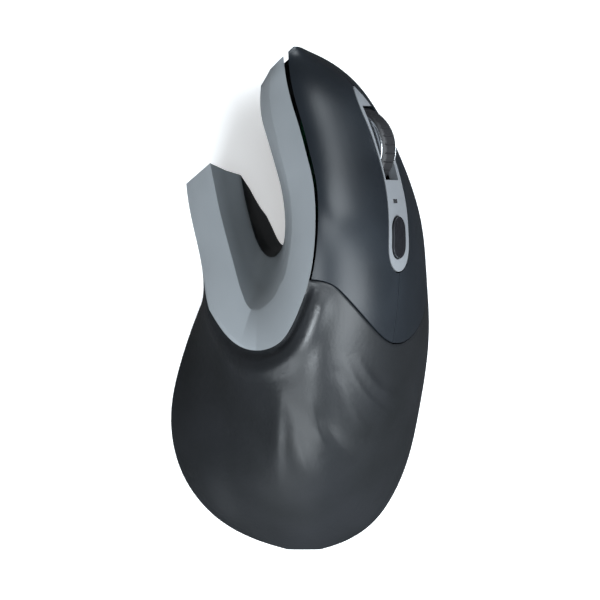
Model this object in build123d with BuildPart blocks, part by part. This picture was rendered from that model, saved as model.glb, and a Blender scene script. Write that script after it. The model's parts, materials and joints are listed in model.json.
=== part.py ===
from build123d import *
import math
import os

# Vertical ergonomic mouse for the right hand, wireless, standing on its feet.
# Frame: +Y is the front, +X the side of the four fingers, +Z up. The origin is the
# bottom centre of the bounding box, on the plane of the feet. Millimetres.

# Overall size
BODY_LENGTH = 120.0
BODY_WIDTH = 62.0
BODY_HEIGHT = 66.0
HALF_LENGTH = BODY_LENGTH / 2
HALF_WIDTH = BODY_WIDTH / 2

# Shells and gaps
WALL = 2.0
FOOT_THICKNESS = 0.8
KEY_GAP = 0.35
DIVIDER_GAP = 0.16
FRONT_KEY_GAP = 1.15
FIT_GAP = 0.3
RUNNING_FIT = 0.05
OVERRUN = 90.0
QUARTER_TURN = 90.0
FLOOR_TOP = FOOT_THICKNESS + WALL
CASE_TOP_REAR = 5.0
CASE_TOP_FRONT = 13.7
INNER_FRONT_SHARE = 0.6

# Plane of the grey thumb panel's rim: it rises to the right by RIM_RISE_SHARE
RIM_HEIGHT = 59.3
RIM_ORIGIN_Y_SHARE = 0.167
RIM_RISE_SHARE = 1.38
RIM_FALL_SHARE = 0.06

# Depths below the rim plane of the four outlines that step down into the thumb channel
BAND_DEPTH = 5.6
WALL_DEPTH = 10.3
SCOOP_DEPTH = 16.3
CHANNEL_RISE = 1.5
CHANNEL_FLARE = 0.3

# Face under the four fingers: its normal leans this far from upright, towards +X
FACE_LEAN = 57.0
KEY_DEPTH = 5.3

# Slanted ends of the thumb wing and of the nose
WING_TIP = (-21.5, 32.7, 28.5)
WING_TIP_NORMAL_SHARES = (-0.15, 1.0, -0.52)
NOSE_TIP = (-1.7, 59.9, 50.6)
NOSE_TIP_NORMAL_SHARES = (-0.68, 0.73, -0.05)

# Key motion: both keys flex about one line across the face, behind the seam
KEY_HINGE_Y = -5.0

# Wheel
WHEEL_DIAMETER = 20.0
WHEEL_WIDTH = 6.0
WHEEL_Y = 35.8
WHEEL_UP = 28.2
WHEEL_HEIGHT = 34.0
WHEEL_OPENING = 13.0
TYRE_THICKNESS = 2.2
TYRE_ROUND = 1.6
TYRE_GROOVES = 30
TYRE_GROOVE = 0.5
RING_DIAMETER = 14.6
RING_WIDTH = 1.1
RING_THICKNESS = 0.5
AXLE_DIAMETER = 2.4
SLOT_REAR_Y = 28.4
SLOT_FRONT_Y = 46.0
SLOT_SIDE_GAP = 0.65

# Wheel cradle, which rocks on two pins behind the wheel
CRADLE_PIVOT_Y = 24.0
CRADLE_PIVOT_HEIGHT = 31.6
CRADLE_BAR = 2.0
CRADLE_SIDE_GAP = 0.6
CRADLE_CHEEK = 1.4
CRADLE_CHEEK_LENGTH = 5.0
CRADLE_CHEEK_RISE = 1.7
CLICK_Y = 36.8
CLICK_UP = 20.6
CRADLE_LEG_LENGTH = 2.0
CRADLE_LEG_WIDTH = 3.0
PIN_DIAMETER = 1.6
PIN_LENGTH = 1.2
EAR_RISE = 1.6
EAR_THICKNESS = 1.4
EAR_LENGTH = 3.4
ENCODER_LENGTH = 7.0
ENCODER_HEIGHT = 3.8
ENCODER_THICKNESS = 2.2

# Sloping switch board and the tray under it
TRAY_LOW = 23.4
TRAY_THICKNESS = 1.2
BOARD_THICKNESS = 1.2
BOARD_LOW = TRAY_LOW + TRAY_THICKNESS
BOARD_TOP = BOARD_LOW + BOARD_THICKNESS
RIB_THICKNESS = 2.0
REAR_RIB_Y = 6.0
FRONT_RIB_Y = 43.0
FRAME_FOOT_LENGTH = 4.0
FRAME_FOOT_HEIGHT = 6.0

# Key switches
SWITCH_LENGTH = 12.8
SWITCH_WIDTH = 5.8
SWITCH_HEIGHT = 6.5
SWITCH_Y = 12.4
LEFT_SWITCH_UP = 34.7
LEFT_PLUNGER_SHIFT = 0.5
RIGHT_SWITCH_UP = 16.9
PLUNGER_Y = 16.0
PLUNGER_DIAMETER = 1.8
PLUNGER_REACH = 0.8
PLUNGER_BORE_DEPTH = 1.5
PLUNGER_SEAT = 0.5
SWITCH_PIN_HOLE = 1.2
SWITCH_PIN_SPACING = 6.4
STEM_GAP = 0.06
STEM_WIDTH = 2.0
STEM_LENGTH = 3.0

# Tact switches, for the wheel click, the resolution button and the thumb buttons
TACT_SIZE = 4.2
TACT_HEIGHT = 2.5
TACT_PLUNGER_DIAMETER = 2.0
TACT_PLUNGER_REACH = 0.6
TACT_BORE_DEPTH = 1.4
TACT_PLUNGER_SEAT = 0.7

# Resolution button in the silver strip
DPI_Y = 14.8
DPI_UP = 28.9
DPI_LENGTH = 9.8
DPI_WIDTH = 6.0
DPI_PROUD = 0.6
DPI_FLANGE = 0.9
DPI_FLANGE_THICKNESS = 1.0
DPI_FLANGE_HEIGHT = 42.4
DPI_STEM_DIAMETER = 2.6
DPI_TRAVEL_GAP = 0.32

# Light pipe in the strip
LIGHT_Y = 23.4
LIGHT_UP = 29.0
LIGHT_LENGTH = 1.0
LIGHT_WIDTH = 2.2
LIGHT_SHELF_HEIGHT = 36.2
LIGHT_FOOT_Y = 19.8
LED_LENGTH = 1.6
LED_HEIGHT = 0.8

# Legs that stand the strip on the board
STRIP_LEG_PLACES = [(21.2, 25.4), (7.9, 28.6)]
STRIP_LEG_LENGTH = 1.6
STRIP_LEG_WIDTH = 2.2

# Thumb buttons in the upright wall of the thumb channel
THUMB_BUTTON_LENGTH = 11.0
THUMB_BUTTON_HEIGHT = 5.6
THUMB_BUTTON_Z = 21.5
BACK_BUTTON_Y = 24.6
FORWARD_BUTTON_Y = 37.4
THUMB_BUTTON_FACE_X = -0.9
THUMB_BUTTON_ROUND = 1.2
THUMB_FLANGE = 0.9
THUMB_FLANGE_X = 3.5
THUMB_FLANGE_THICKNESS = 0.9
THUMB_BOARD_X = 8.2
THUMB_BOARD_THICKNESS = 1.2
THUMB_BOARD_LENGTH = 26.4
THUMB_BOARD_Y = 32.4
THUMB_BOARD_HEIGHT = 11.8
THUMB_BOARD_Z = 19.5
THUMB_POST_DIAMETER = 2.8
THUMB_POST_YS = [21.4, 43.4]
THUMB_POST_Z = 15.6
THUMB_STEM_DIAMETER = 2.2
THUMB_CABLE_Y = 30.9
THUMB_CABLE_WIDTH = 4.0
THUMB_POST_START_X = 0.6
THUMB_TRAVEL_GAP = 0.32

# Main board and what it carries
MAIN_BOARD_LOW = 5.0
MAIN_BOARD_THICKNESS = 1.4
MAIN_BOARD_TOP = MAIN_BOARD_LOW + MAIN_BOARD_THICKNESS
BOARD_BOSS_DIAMETER = 4.0
BOARD_BOSS_PLACES = [(7.0, 10.4), (20.0, 10.4), (7.0, 36.6)]
SENSOR_X = 13.5
SENSOR_Y = 24.0
SENSOR_LENGTH = 12.0
SENSOR_WIDTH = 9.0
SENSOR_HEIGHT = 2.4
LENS_LENGTH = 8.4
LENS_WIDTH = 6.4
LENS_RECESS = 0.5
LENS_FLANGE = 2.0
LENS_FLANGE_THICKNESS = 0.9
LIGHT_HOLE = 3.0
CHIP_X = 12.4
CHIP_Y = 32.3
CHIP_SIZE = 6.0
CHIP_HEIGHT = 1.0
FLEX_X = 8.0
FLEX_Y = 15.8
FLEX_WIDTH = 6.0
FLEX_THICKNESS = 0.4
FLEX_BEND_Z = 28.5

# Battery bay: one cylindrical cell of the common pen size, and its door
BATTERY_DIAMETER = 14.2
BATTERY_LENGTH = 49.5
BATTERY_TIP_DIAMETER = 5.5
BATTERY_TIP = 1.0
BATTERY_X = 1.0
BATTERY_LIFT = 0.6
BATTERY_ROUND = 0.8
CONTACT_THICKNESS = 0.4
CONTACT_SIZE = 9.0
SPRING_LENGTH = 2.2
SPRING_LEAF = 0.4
SPRING_WIDTH = 5.0
SPRING_HEIGHT = 7.0
BAY_REAR_Y = -51.4
BAY_WALL = 1.2
BAY_WIDTH = 16.0
BAY_HEIGHT = 12.0
DOOR_THICKNESS = 1.6
DOOR_GAP = 0.25
DOOR_PIN_DIAMETER = 1.0
DOOR_PIN_LENGTH = 1.0
DOOR_GRIP_GROOVES = 4
DOOR_GRIP_PITCH = 1.6
DOOR_GRIP_DEPTH = 0.4
DOOR_GRIP_LENGTH = 8.0

# Power switch
POWER_X = -15.0
POWER_Y = -22.0
POWER_BODY_LENGTH = 8.6
POWER_BODY_WIDTH = 4.4
POWER_BODY_HEIGHT = 3.5
KNOB_LENGTH = 4.0
KNOB_WIDTH = 3.2
KNOB_RECESS = 0.3
KNOB_RIBS = 3
KNOB_RIB = 0.4
KNOB_STEM = 1.4
KNOB_STEM_HEIGHT = 1.2
KNOB_SLOT_GAP = 0.15
POWER_TRAVEL = 2.5

# Receiver, stored upright in a socket in the floor
RECEIVER_X = 18.6
RECEIVER_Y = -28.0
RECEIVER_LENGTH = 14.6
RECEIVER_THICKNESS = 6.2
RECEIVER_CAP_HEIGHT = 5.8
RECEIVER_ROUND = 1.2
PLUG_LENGTH = 12.0
PLUG_THICKNESS = 4.5
PLUG_HEIGHT = 12.0
PLUG_WALL = 0.35
SOCKET_WALL = 1.2
SOCKET_HEIGHT = 12.0
RECEIVER_GAP = 0.2
NAIL_NOTCH_DIAMETER = 7.0
NAIL_NOTCH_DEPTH = 1.2

# Feet and screws
FOOT_PLACES = [(8.2, 42.5, 9.0, 6.0), (0.8, -53.6, 15.0, 3.2), (-24.2, -27.0, 3.6, 15.0),
               (25.2, -6.0, 3.6, 15.0), (-13.4, 7.5, 6.5, 4.0)]
SCREW_DIAMETER = 2.2
SCREW_HEAD_DIAMETER = 4.0
SCREW_HEAD_HEIGHT = 1.2
SCREW_LENGTH = 6.5
SCREW_CROSS = 0.6
SCREW_SINK = 0.2
SCREW_GAP = 0.1
BOARD_SCREW_DIAMETER = 1.6
BOARD_SCREW_HEAD_DIAMETER = 3.0
BOARD_SCREW_HEAD_HEIGHT = 0.9
BOARD_SCREW_LENGTH = 3.2
TRAY_SCREW_PLACES = [(9.0, 23.6), (42.6, 34.6)]
TRAY_BOSS_DEPTH = 2.4
TRAY_BOSS_DIAMETER = 3.4
POST_DIAMETER = 5.6
POST_PLACES = [(-17.0, -36.0), (17.0, -14.5)]
FRAME_SCREW_PLACES = [(16.0, REAR_RIB_Y), (11.0, FRONT_RIB_Y)]

# Cross sections from the rear to the nose. Each row: place along the half length, left
# end of the base, crest, then the left side upwards and the right side downwards, and
# the right end of the base. Across is a share of the half width, up one of the height.
STATION_SHARES = [
    (-1.000, -0.097, (0.039, 0.055),
     [(-0.090, 0.027), (-0.058, 0.041), (-0.013, 0.050)],
     [(0.071, 0.052), (0.110, 0.044), (0.139, 0.033), (0.155, 0.023)], 0.158),
    (-0.973, -0.277, (0.058, 0.127),
     [(-0.265, 0.035), (-0.200, 0.070), (-0.090, 0.106)],
     [(0.161, 0.108), (0.245, 0.080), (0.297, 0.053), (0.319, 0.030)], 0.323),
    (-0.925, -0.494, (0.077, 0.211),
     [(-0.471, 0.048), (-0.361, 0.106), (-0.181, 0.173)],
     [(0.232, 0.182), (0.368, 0.130), (0.452, 0.082), (0.487, 0.042)], 0.490),
    (-0.800, -0.787, (0.077, 0.386),
     [(-0.735, 0.076), (-0.510, 0.194), (-0.239, 0.330)],
     [(0.306, 0.345), (0.523, 0.245), (0.652, 0.142), (0.697, 0.064)], 0.700),
    (-0.633, -0.958, (0.081, 0.576),
     [(-0.826, 0.121), (-0.555, 0.294), (-0.258, 0.477)],
     [(0.387, 0.512), (0.632, 0.364), (0.784, 0.215), (0.835, 0.097)], 0.839),
    (-0.433, -0.998, (0.090, 0.735),
     [(-0.813, 0.155), (-0.535, 0.391), (-0.242, 0.621)],
     [(0.435, 0.655), (0.716, 0.470), (0.865, 0.288), (0.923, 0.129)], 0.919),
    (-0.233, -0.916, (0.110, 0.856),
     [(-0.742, 0.212), (-0.516, 0.512), (-0.242, 0.742)],
     [(0.468, 0.770), (0.774, 0.561), (0.932, 0.341), (0.984, 0.159)], 0.961),
    (-0.067, -0.806, (0.135, 0.924),
     [(-0.742, 0.273), (-0.568, 0.576), (-0.258, 0.803)],
     [(0.500, 0.841), (0.806, 0.614), (0.961, 0.364), (0.997, 0.182)], 0.961),
    (0.133, -0.661, (0.168, 0.977),
     [(-0.755, 0.303), (-0.710, 0.515), (-0.290, 0.811)],
     [(0.484, 0.909), (0.761, 0.732), (0.935, 0.485), (0.971, 0.242)], 0.913),
    (0.333, -0.597, (0.190, 0.999),
     [(-0.839, 0.303), (-0.794, 0.477), (-0.290, 0.811)],
     [(0.484, 0.923), (0.758, 0.733), (0.903, 0.485), (0.919, 0.242)], 0.839),
    (0.533, -0.597, (0.129, 0.942),
     [(-0.884, 0.288), (-0.839, 0.462), (-0.290, 0.780)],
     [(0.435, 0.876), (0.684, 0.714), (0.794, 0.485), (0.784, 0.258)], 0.694),
    (0.733, -0.613, (0.029, 0.870),
     [(-0.871, 0.295), (-0.774, 0.470), (-0.290, 0.750)],
     [(0.306, 0.824), (0.548, 0.691), (0.610, 0.515), (0.590, 0.288)], 0.500),
    (0.883, -0.613, (-0.052, 0.809),
     [(-0.823, 0.295), (-0.710, 0.470), (-0.323, 0.697)],
     [(0.161, 0.776), (0.342, 0.652), (0.390, 0.500), (0.361, 0.318)], 0.274),
    (1.000, -0.613, (-0.090, 0.764),
     [(-0.742, 0.295), (-0.613, 0.455), (-0.290, 0.667)],
     [(-0.045, 0.755), (-0.006, 0.689), (0.013, 0.545), (-0.013, 0.379)], -0.071),
]

# Plan outlines of the thumb channel, from the wing round its inner end to the nose: across as a
# share of the half width, forward as a share of the half length
SEAM_SHARES = [
    (-1.290, 0.667), (-1.226, 0.433), (-1.097, 0.233), (-0.935, 0.117), (-0.790, 0.033),
    (-0.665, -0.067), (-0.568, -0.138), (-0.461, -0.183), (-0.290, -0.198), (-0.155, -0.167),
    (-0.061, -0.100), (0.006, -0.020), (0.058, 0.058), (0.084, 0.115), (0.102, 0.178),
    (0.116, 0.278), (0.115, 0.377), (0.094, 0.477), (0.048, 0.575), (-0.003, 0.675),
    (-0.061, 0.773), (-0.106, 0.873), (-0.126, 0.965), (-0.132, 1.067)
]
CREASE_SHARES = [
    (-0.716, 0.600), (-0.674, 0.500), (-0.629, 0.383), (-0.587, 0.293), (-0.548, 0.217),
    (-0.506, 0.138), (-0.471, 0.070), (-0.432, 0.010), (-0.394, -0.028), (-0.342, -0.045),
    (-0.287, -0.037), (-0.232, -0.013), (-0.181, 0.023), (-0.132, 0.070), (-0.097, 0.128),
    (-0.071, 0.197), (-0.058, 0.283), (-0.061, 0.367), (-0.084, 0.450), (-0.126, 0.537),
    (-0.174, 0.640), (-0.216, 0.733), (-0.226, 0.825), (-0.229, 0.917), (-0.239, 1.067)
]
MID_SHARES = [
    (-0.610, 0.600), (-0.566, 0.500), (-0.528, 0.396), (-0.491, 0.316), (-0.458, 0.252),
    (-0.423, 0.191), (-0.390, 0.140), (-0.357, 0.099), (-0.323, 0.073), (-0.282, 0.063),
    (-0.239, 0.068), (-0.199, 0.086), (-0.161, 0.113), (-0.129, 0.148), (-0.106, 0.193),
    (-0.092, 0.243), (-0.087, 0.310), (-0.095, 0.383), (-0.119, 0.459), (-0.163, 0.543),
    (-0.213, 0.641), (-0.257, 0.732), (-0.266, 0.817), (-0.260, 0.908), (-0.255, 1.067)
]
STEEP_SHARES = [
    (-0.503, 0.600), (-0.458, 0.500), (-0.426, 0.408), (-0.394, 0.338), (-0.368, 0.287),
    (-0.339, 0.243), (-0.310, 0.210), (-0.281, 0.188), (-0.252, 0.175), (-0.223, 0.170),
    (-0.190, 0.173), (-0.165, 0.185), (-0.142, 0.203), (-0.126, 0.227), (-0.116, 0.257),
    (-0.113, 0.290), (-0.116, 0.337), (-0.129, 0.400), (-0.155, 0.467), (-0.200, 0.550),
    (-0.252, 0.643), (-0.297, 0.730), (-0.306, 0.808), (-0.290, 0.900), (-0.271, 1.067)
]
SCOOP_SHARES = [
    (-0.452, 0.600), (-0.406, 0.500), (-0.377, 0.417), (-0.348, 0.353), (-0.323, 0.307),
    (-0.297, 0.270), (-0.271, 0.240), (-0.245, 0.217), (-0.216, 0.200), (-0.181, 0.192),
    (-0.142, 0.193), (-0.103, 0.203), (-0.068, 0.220), (-0.039, 0.243), (-0.013, 0.273),
    (0.006, 0.310), (0.019, 0.360), (0.026, 0.423), (0.019, 0.492), (0.000, 0.572), (-0.026, 0.657),
    (-0.055, 0.740), (-0.077, 0.817), (-0.090, 0.908), (-0.097, 1.067)
]
BASE_SHARES = [
    (-0.394, 0.600), (-0.339, 0.500), (-0.303, 0.425), (-0.268, 0.370), (-0.235, 0.333),
    (-0.210, 0.307), (-0.187, 0.280), (-0.168, 0.257), (-0.148, 0.238), (-0.129, 0.227),
    (-0.106, 0.223), (-0.081, 0.232), (-0.058, 0.243), (-0.039, 0.260), (-0.023, 0.283),
    (-0.010, 0.317), (0.000, 0.367), (0.006, 0.427), (0.010, 0.497), (0.010, 0.573), (0.006, 0.657),
    (0.000, 0.740), (-0.010, 0.817), (-0.019, 0.908), (-0.026, 1.067)
]

# Face outlines, each point a share of the half length forward and of the height up the face
COVER_REAR_SHARES = [
    (0.090, 0.985), (0.077, 0.785), (0.060, 0.745), (0.015, 0.690), (-0.055, 0.605), (-0.140, 0.470),
    (-0.172, 0.380), (-0.172, 0.288), (-0.138, 0.190), (-0.080, 0.105), (0.000, 0.030),
    (0.133, -0.050), (0.280, -0.110), (0.420, -0.150)
]
STRIP_SHARES = [
    (0.843, 0.458), (0.812, 0.486), (0.750, 0.501), (0.683, 0.498), (0.610, 0.494), (0.477, 0.492),
    (0.380, 0.500), (0.238, 0.509), (0.165, 0.497), (0.124, 0.462), (0.112, 0.418), (0.126, 0.380),
    (0.163, 0.352), (0.258, 0.342), (0.380, 0.336), (0.473, 0.339), (0.600, 0.349), (0.707, 0.371),
    (0.765, 0.399), (0.815, 0.432), (0.845, 0.451)
]
KEY_DIVIDER_SHARES = [(-0.250, 0.360), (0.112, 0.418), (0.842, 0.455), (1.400, 0.470)]

# Plan outline of the region in which the slanted plane shortens the wing
WING_REGION_SHARES = [
    (-1.940, 0.167), (-0.145, 0.167), (-0.145, 0.250), (-0.194, 0.367), (-0.306, 0.517),
    (-0.330, 1.150), (-1.940, 1.150)
]
PANEL_REGION_SHARE = -0.387

# Outlines of the sloping board (forward, up the face) and of the main board (across, forward)
SLOPING_BOARD_SHARES = [
    (0.084, 0.205), (0.667, 0.205), (0.750, 0.270), (0.750, 0.569), (0.084, 0.569)
]
MAIN_BOARD_SHARES = [
    (0.129, 0.137), (0.774, 0.137), (0.710, 0.333), (0.581, 0.533), (0.387, 0.660), (0.129, 0.660)
]
# Sides of the two ribs under the tray: across, and upwards
REAR_RIB_FOOT_SHARES = (0.129, 0.645)
REAR_RIB_SHARES = [(0.413, 0.370), (-0.010, 0.674), (0.016, 0.576), (0.123, 0.424)]
FRONT_RIB_FOOT_SHARES = (0.342, 0.419)
FRONT_RIB_SHARES = [(0.400, 0.379), (0.297, 0.453), (0.248, 0.461), (0.342, 0.397)]

FACE_OUT = Vector(math.sin(math.radians(FACE_LEAN)), 0, math.cos(math.radians(FACE_LEAN)))
FACE_UP = Vector(-FACE_OUT.Z, 0, FACE_OUT.X)
RIM_NORMAL = Vector(-RIM_RISE_SHARE, RIM_FALL_SHARE, 1).normalized()
RIM_ORIGIN = Vector(0, RIM_ORIGIN_Y_SHARE * HALF_LENGTH, RIM_HEIGHT)


def face_plane(height):
    """Plane across the face normal: local x runs forward, local y up the face."""
    return Plane(origin=FACE_OUT * height, x_dir=(0, 1, 0), z_dir=FACE_OUT)


def face_point(forward, up, height):
    return Vector(0, forward, 0) + FACE_UP * up + FACE_OUT * height


def level(depth):
    """Plane parallel to the panel's rim, at a depth below it."""
    return Plane(origin=RIM_ORIGIN - RIM_NORMAL * depth, x_dir=(1, 0, RIM_RISE_SHARE), z_dir=RIM_NORMAL)


def drop(plane, x, y):
    """Local coordinates of the point of a plane that lies above or below a point of the plan."""
    normal = plane.z_dir
    origin = plane.origin
    z = origin.Z - (normal.X * (x - origin.X) + normal.Y * (y - origin.Y)) / normal.Z
    local = plane.to_local_coords(Vector(x, y, z))
    return (local.X, local.Y)


def plan_points(shares):
    return [(across * HALF_WIDTH, along * HALF_LENGTH) for across, along in shares]


def face_points(shares):
    return [(along * HALF_LENGTH, up * BODY_HEIGHT) for along, up in shares]


def shifted(points, distance, closed=False):
    """Points moved square to their outline, to its right. The distance may vary by point."""
    moved = []
    last = len(points) - 1
    for index, (x, y) in enumerate(points):
        before = points[index - 1] if index or closed else points[0]
        after = points[(index + 1) % len(points)] if index < last or closed else points[last]
        run_x = after[0] - before[0]
        run_y = after[1] - before[1]
        run = math.hypot(run_x, run_y)
        step = distance(x, y) if callable(distance) else distance
        moved.append((x + run_y / run * step, y - run_x / run * step))
    return moved


# Outer and inner form

def section(row, inset, floor):
    """Closed cross section at one station, drawn in by the inset along its outline."""
    along, left_end, crest, left_side, right_side, right_end = row
    y = along * (HALF_LENGTH - inset)
    left_end *= HALF_WIDTH
    right_end *= HALF_WIDTH
    arch = [(x * HALF_WIDTH, z * BODY_HEIGHT) for x, z in [*left_side, crest, *right_side]]
    if inset:
        whole = [(left_end, FOOT_THICKNESS), *arch, (right_end, FOOT_THICKNESS)]
        arch = shifted(whole, inset)[1:-1]
        left_end += inset
        right_end -= inset
        half = len(left_side) + 1
        kept_left = [point for point in arch[:half] if point[1] > floor + WALL / 2]
        kept_right = [point for point in arch[half:] if point[1] > floor + WALL / 2]
        arch = kept_left + kept_right
    with BuildSketch(Plane(origin=(0, y, 0), x_dir=(1, 0, 0), z_dir=(0, -1, 0))) as profile:
        with BuildLine():
            Spline((left_end, floor), *arch, (right_end, floor))
            Line((right_end, floor), (left_end, floor))
        make_face()
    return profile.sketch.face()


def blend(row, other, share):
    """Station between two others, by a share of the way from the first to the second."""
    def mix(first, second):
        if isinstance(first, (tuple, list)):
            return [mix(a, b) for a, b in zip(first, second)]
        return first + (second - first) * share
    return mix(row, other)


def hull(stations, inset, floor):
    with BuildPart() as form:
        loft(sections=[section(row, inset, floor) for row in stations])
    return form.part


def channel_outline(depth_plane, points):
    """Face on a level plane: a U open to the front, closed far ahead of the nose."""
    ahead = OVERRUN
    path = [drop(depth_plane, x, y) for x, y in points]
    with BuildSketch(depth_plane) as outline:
        with BuildLine():
            Spline(*path)
            Polyline(path[-1], drop(depth_plane, points[-1][0], ahead),
                     drop(depth_plane, points[0][0], ahead), path[0])
        make_face()
    return outline.sketch.face()


def rim_cutter(growth, depth):
    """What lies above the rim plane and inside the panel's seam."""
    seam = shifted(plan_points(SEAM_SHARES), growth)
    with BuildPart() as cutter:
        with BuildSketch(level(depth)):
            Rectangle(4 * OVERRUN, 4 * OVERRUN)
        extrude(amount=OVERRUN)
        add(seam_prism(seam), mode=Mode.INTERSECT)
    return cutter.part


def seam_prism(seam):
    """Upright prism over the panel's plan outline."""
    with BuildPart() as prism:
        extrude(channel_outline(Plane.XY, seam), amount=OVERRUN)
    return prism.part


def channel_cutter(growth, rise=CHANNEL_RISE):
    """The thumb channel, ruled between its outlines; growth widens and deepens it."""
    flare = CHANNEL_FLARE * rise / CHANNEL_RISE

    def ring(depth_plane, shares, more=0):
        return channel_outline(depth_plane, shifted(plan_points(shares), growth + more))
    with BuildPart() as cutter:
        loft(sections=[
            ring(level(growth - rise), CREASE_SHARES, flare),
            ring(level(growth), CREASE_SHARES),
            ring(level(BAND_DEPTH + growth), MID_SHARES),
            ring(level(WALL_DEPTH), STEEP_SHARES),
            ring(level(SCOOP_DEPTH), SCOOP_SHARES),
            ring(Plane.XY.offset(-FLOOR_TOP), BASE_SHARES),
        ], ruled=True)
    return cutter.part


def half_space(point, normal):
    """Everything beyond a plane, on the side of its normal."""
    with BuildPart() as space:
        with BuildSketch(Plane(origin=point, z_dir=normal)):
            Rectangle(4 * OVERRUN, 4 * OVERRUN)
        extrude(amount=2 * OVERRUN)
    return space.part


def wing_cutter(growth):
    """Ahead of the slanted end of the thumb wing."""
    normal = Vector(*WING_TIP_NORMAL_SHARES).normalized()
    with BuildPart() as cutter:
        with BuildSketch(Plane.XY):
            with BuildLine():
                Polyline(*plan_points(WING_REGION_SHARES), close=True)
            make_face()
        extrude(amount=OVERRUN)
        add(half_space(Vector(*WING_TIP) - normal * growth, normal), mode=Mode.INTERSECT)
    return cutter.part


def nose_cutter(growth):
    """Ahead of the slanted left corner of the nose."""
    normal = Vector(*NOSE_TIP_NORMAL_SHARES).normalized()
    return half_space(Vector(*NOSE_TIP) - normal * growth, normal)


def carved(form, growth):
    """A form with the panel's rim, the thumb channel and both slanted ends cut away."""
    with BuildPart() as result:
        add(form)
        add(rim_cutter(growth, growth), mode=Mode.SUBTRACT)
        add(channel_cutter(growth), mode=Mode.SUBTRACT)
        add(wing_cutter(growth), mode=Mode.SUBTRACT)
        add(nose_cutter(growth), mode=Mode.SUBTRACT)
    return result.part


def case_region(rear_gap, front_gap):
    """Everything below the sloping parting plane of the bottom case, raised by the gaps."""
    rear = CASE_TOP_REAR + rear_gap
    front = CASE_TOP_FRONT + front_gap
    return half_space(Vector(0, 0, (front + rear) / 2), Vector(0, front - rear, -BODY_LENGTH))


def face_prism(points, low, high):
    """Prism along the face normal over a polygon or closed outline of the face."""
    with BuildPart() as prism:
        with BuildSketch(face_plane(low)):
            with BuildLine():
                Polyline(*points, close=True)
            make_face()
        extrude(amount=high - low)
    return prism.part


def strip_prism(growth):
    """Prism along the face normal over the silver strip's outline."""
    outline = shifted(face_points(STRIP_SHARES), growth, closed=True)
    with BuildPart() as prism:
        with BuildSketch(face_plane(KEY_DEPTH)):
            with BuildLine():
                Spline(*outline)
                Line(outline[-1], outline[0])
            make_face()
        extrude(amount=OVERRUN)
    return prism.part


def face_box(forward, up, low, high, length, width):
    with BuildPart() as box:
        with BuildSketch(face_plane(low)):
            with Locations((forward, up)):
                Rectangle(length, width)
        extrude(amount=high - low)
    return box.part


def face_rod(forward, up, low, high, diameter):
    with BuildPart() as rod:
        with BuildSketch(face_plane(low)):
            with Locations((forward, up)):
                Circle(diameter / 2)
        extrude(amount=high - low)
    return rod.part


def cross_rod(forward, height, low, high, diameter):
    """Round bar up the face, as the wheel's axle and the cradle's pins run."""
    with BuildPart() as rod:
        with BuildSketch(Plane(origin=face_point(forward, low, height), x_dir=(0, 1, 0), z_dir=FACE_UP)):
            Circle(diameter / 2)
        extrude(amount=high - low)
    return rod.part


def upright_box(x, y, low, high, across, along):
    with BuildPart() as box:
        with BuildSketch(Plane.XY.offset(low)):
            with Locations((x, y)):
                Rectangle(across, along)
        extrude(amount=high - low)
    return box.part


def side_rod(x_low, x_high, y, z, diameter):
    """Round bar across the mouse, along X."""
    with BuildPart() as rod:
        with BuildSketch(Plane.YZ.offset(x_low)):
            with Locations((y, z)):
                Circle(diameter / 2)
        extrude(amount=x_high - x_low)
    return rod.part


def side_pad(x_low, x_high, y, z, length, height, corner):
    """Block with rounded corners across the mouse, along X."""
    with BuildPart() as pad:
        with BuildSketch(Plane.YZ.offset(x_low)):
            with Locations((y, z)):
                RectangleRounded(length, height, corner)
        extrude(amount=x_high - x_low)
    return pad.part


def fused(*solids):
    with BuildPart() as result:
        for solid in solids:
            add(solid)
    return result.part


def trimmed(solid, *cutters):
    with BuildPart() as result:
        add(solid)
        for cutter in cutters:
            add(cutter, mode=Mode.SUBTRACT)
    return result.part


def common(solid, *others):
    with BuildPart() as result:
        add(solid)
        for other in others:
            add(other, mode=Mode.INTERSECT)
    return result.part


os.makedirs("parts", exist_ok=True)

outer_form = carved(hull(STATION_SHARES, 0, FOOT_THICKNESS), 0)
inner_front = blend(STATION_SHARES[-2], STATION_SHARES[-1], INNER_FRONT_SHARE)
inner_stations = [*STATION_SHARES[1:-1], inner_front]
inner_form = carved(hull(inner_stations, WALL, FLOOR_TOP), WALL)
shell = trimmed(outer_form, inner_form)
upper_shell = trimmed(shell, case_region(0, 0))

# Thumb panel: the walls of the channel, the rim band, and the front left wall of the nose

right_of_wing = half_space(Vector(PANEL_REGION_SHARE * HALF_WIDTH, 0, 0), Vector(1, 0, 0))
panel_region = fused(
    rim_cutter(0, WALL),
    channel_cutter(WALL),
    common(seam_prism(plan_points(SEAM_SHARES)), right_of_wing),
)
panel_shell = common(upper_shell, panel_region)
outside_panel = trimmed(upper_shell, panel_region)
cover_rear = face_points(COVER_REAR_SHARES)


def cover_region(gap):
    """Everything over the face ahead of the seam to the palm shell."""
    rear = shifted(cover_rear, -gap)
    with BuildPart() as region:
        with BuildSketch(face_plane(KEY_DEPTH)):
            with BuildLine():
                Spline(*rear)
                Polyline(rear[-1], (OVERRUN, rear[-1][1]), (OVERRUN, rear[0][1]), rear[0])
            make_face()
        extrude(amount=OVERRUN)
    return region.part


cover_shell = common(outside_panel, cover_region(KEY_GAP))

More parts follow.
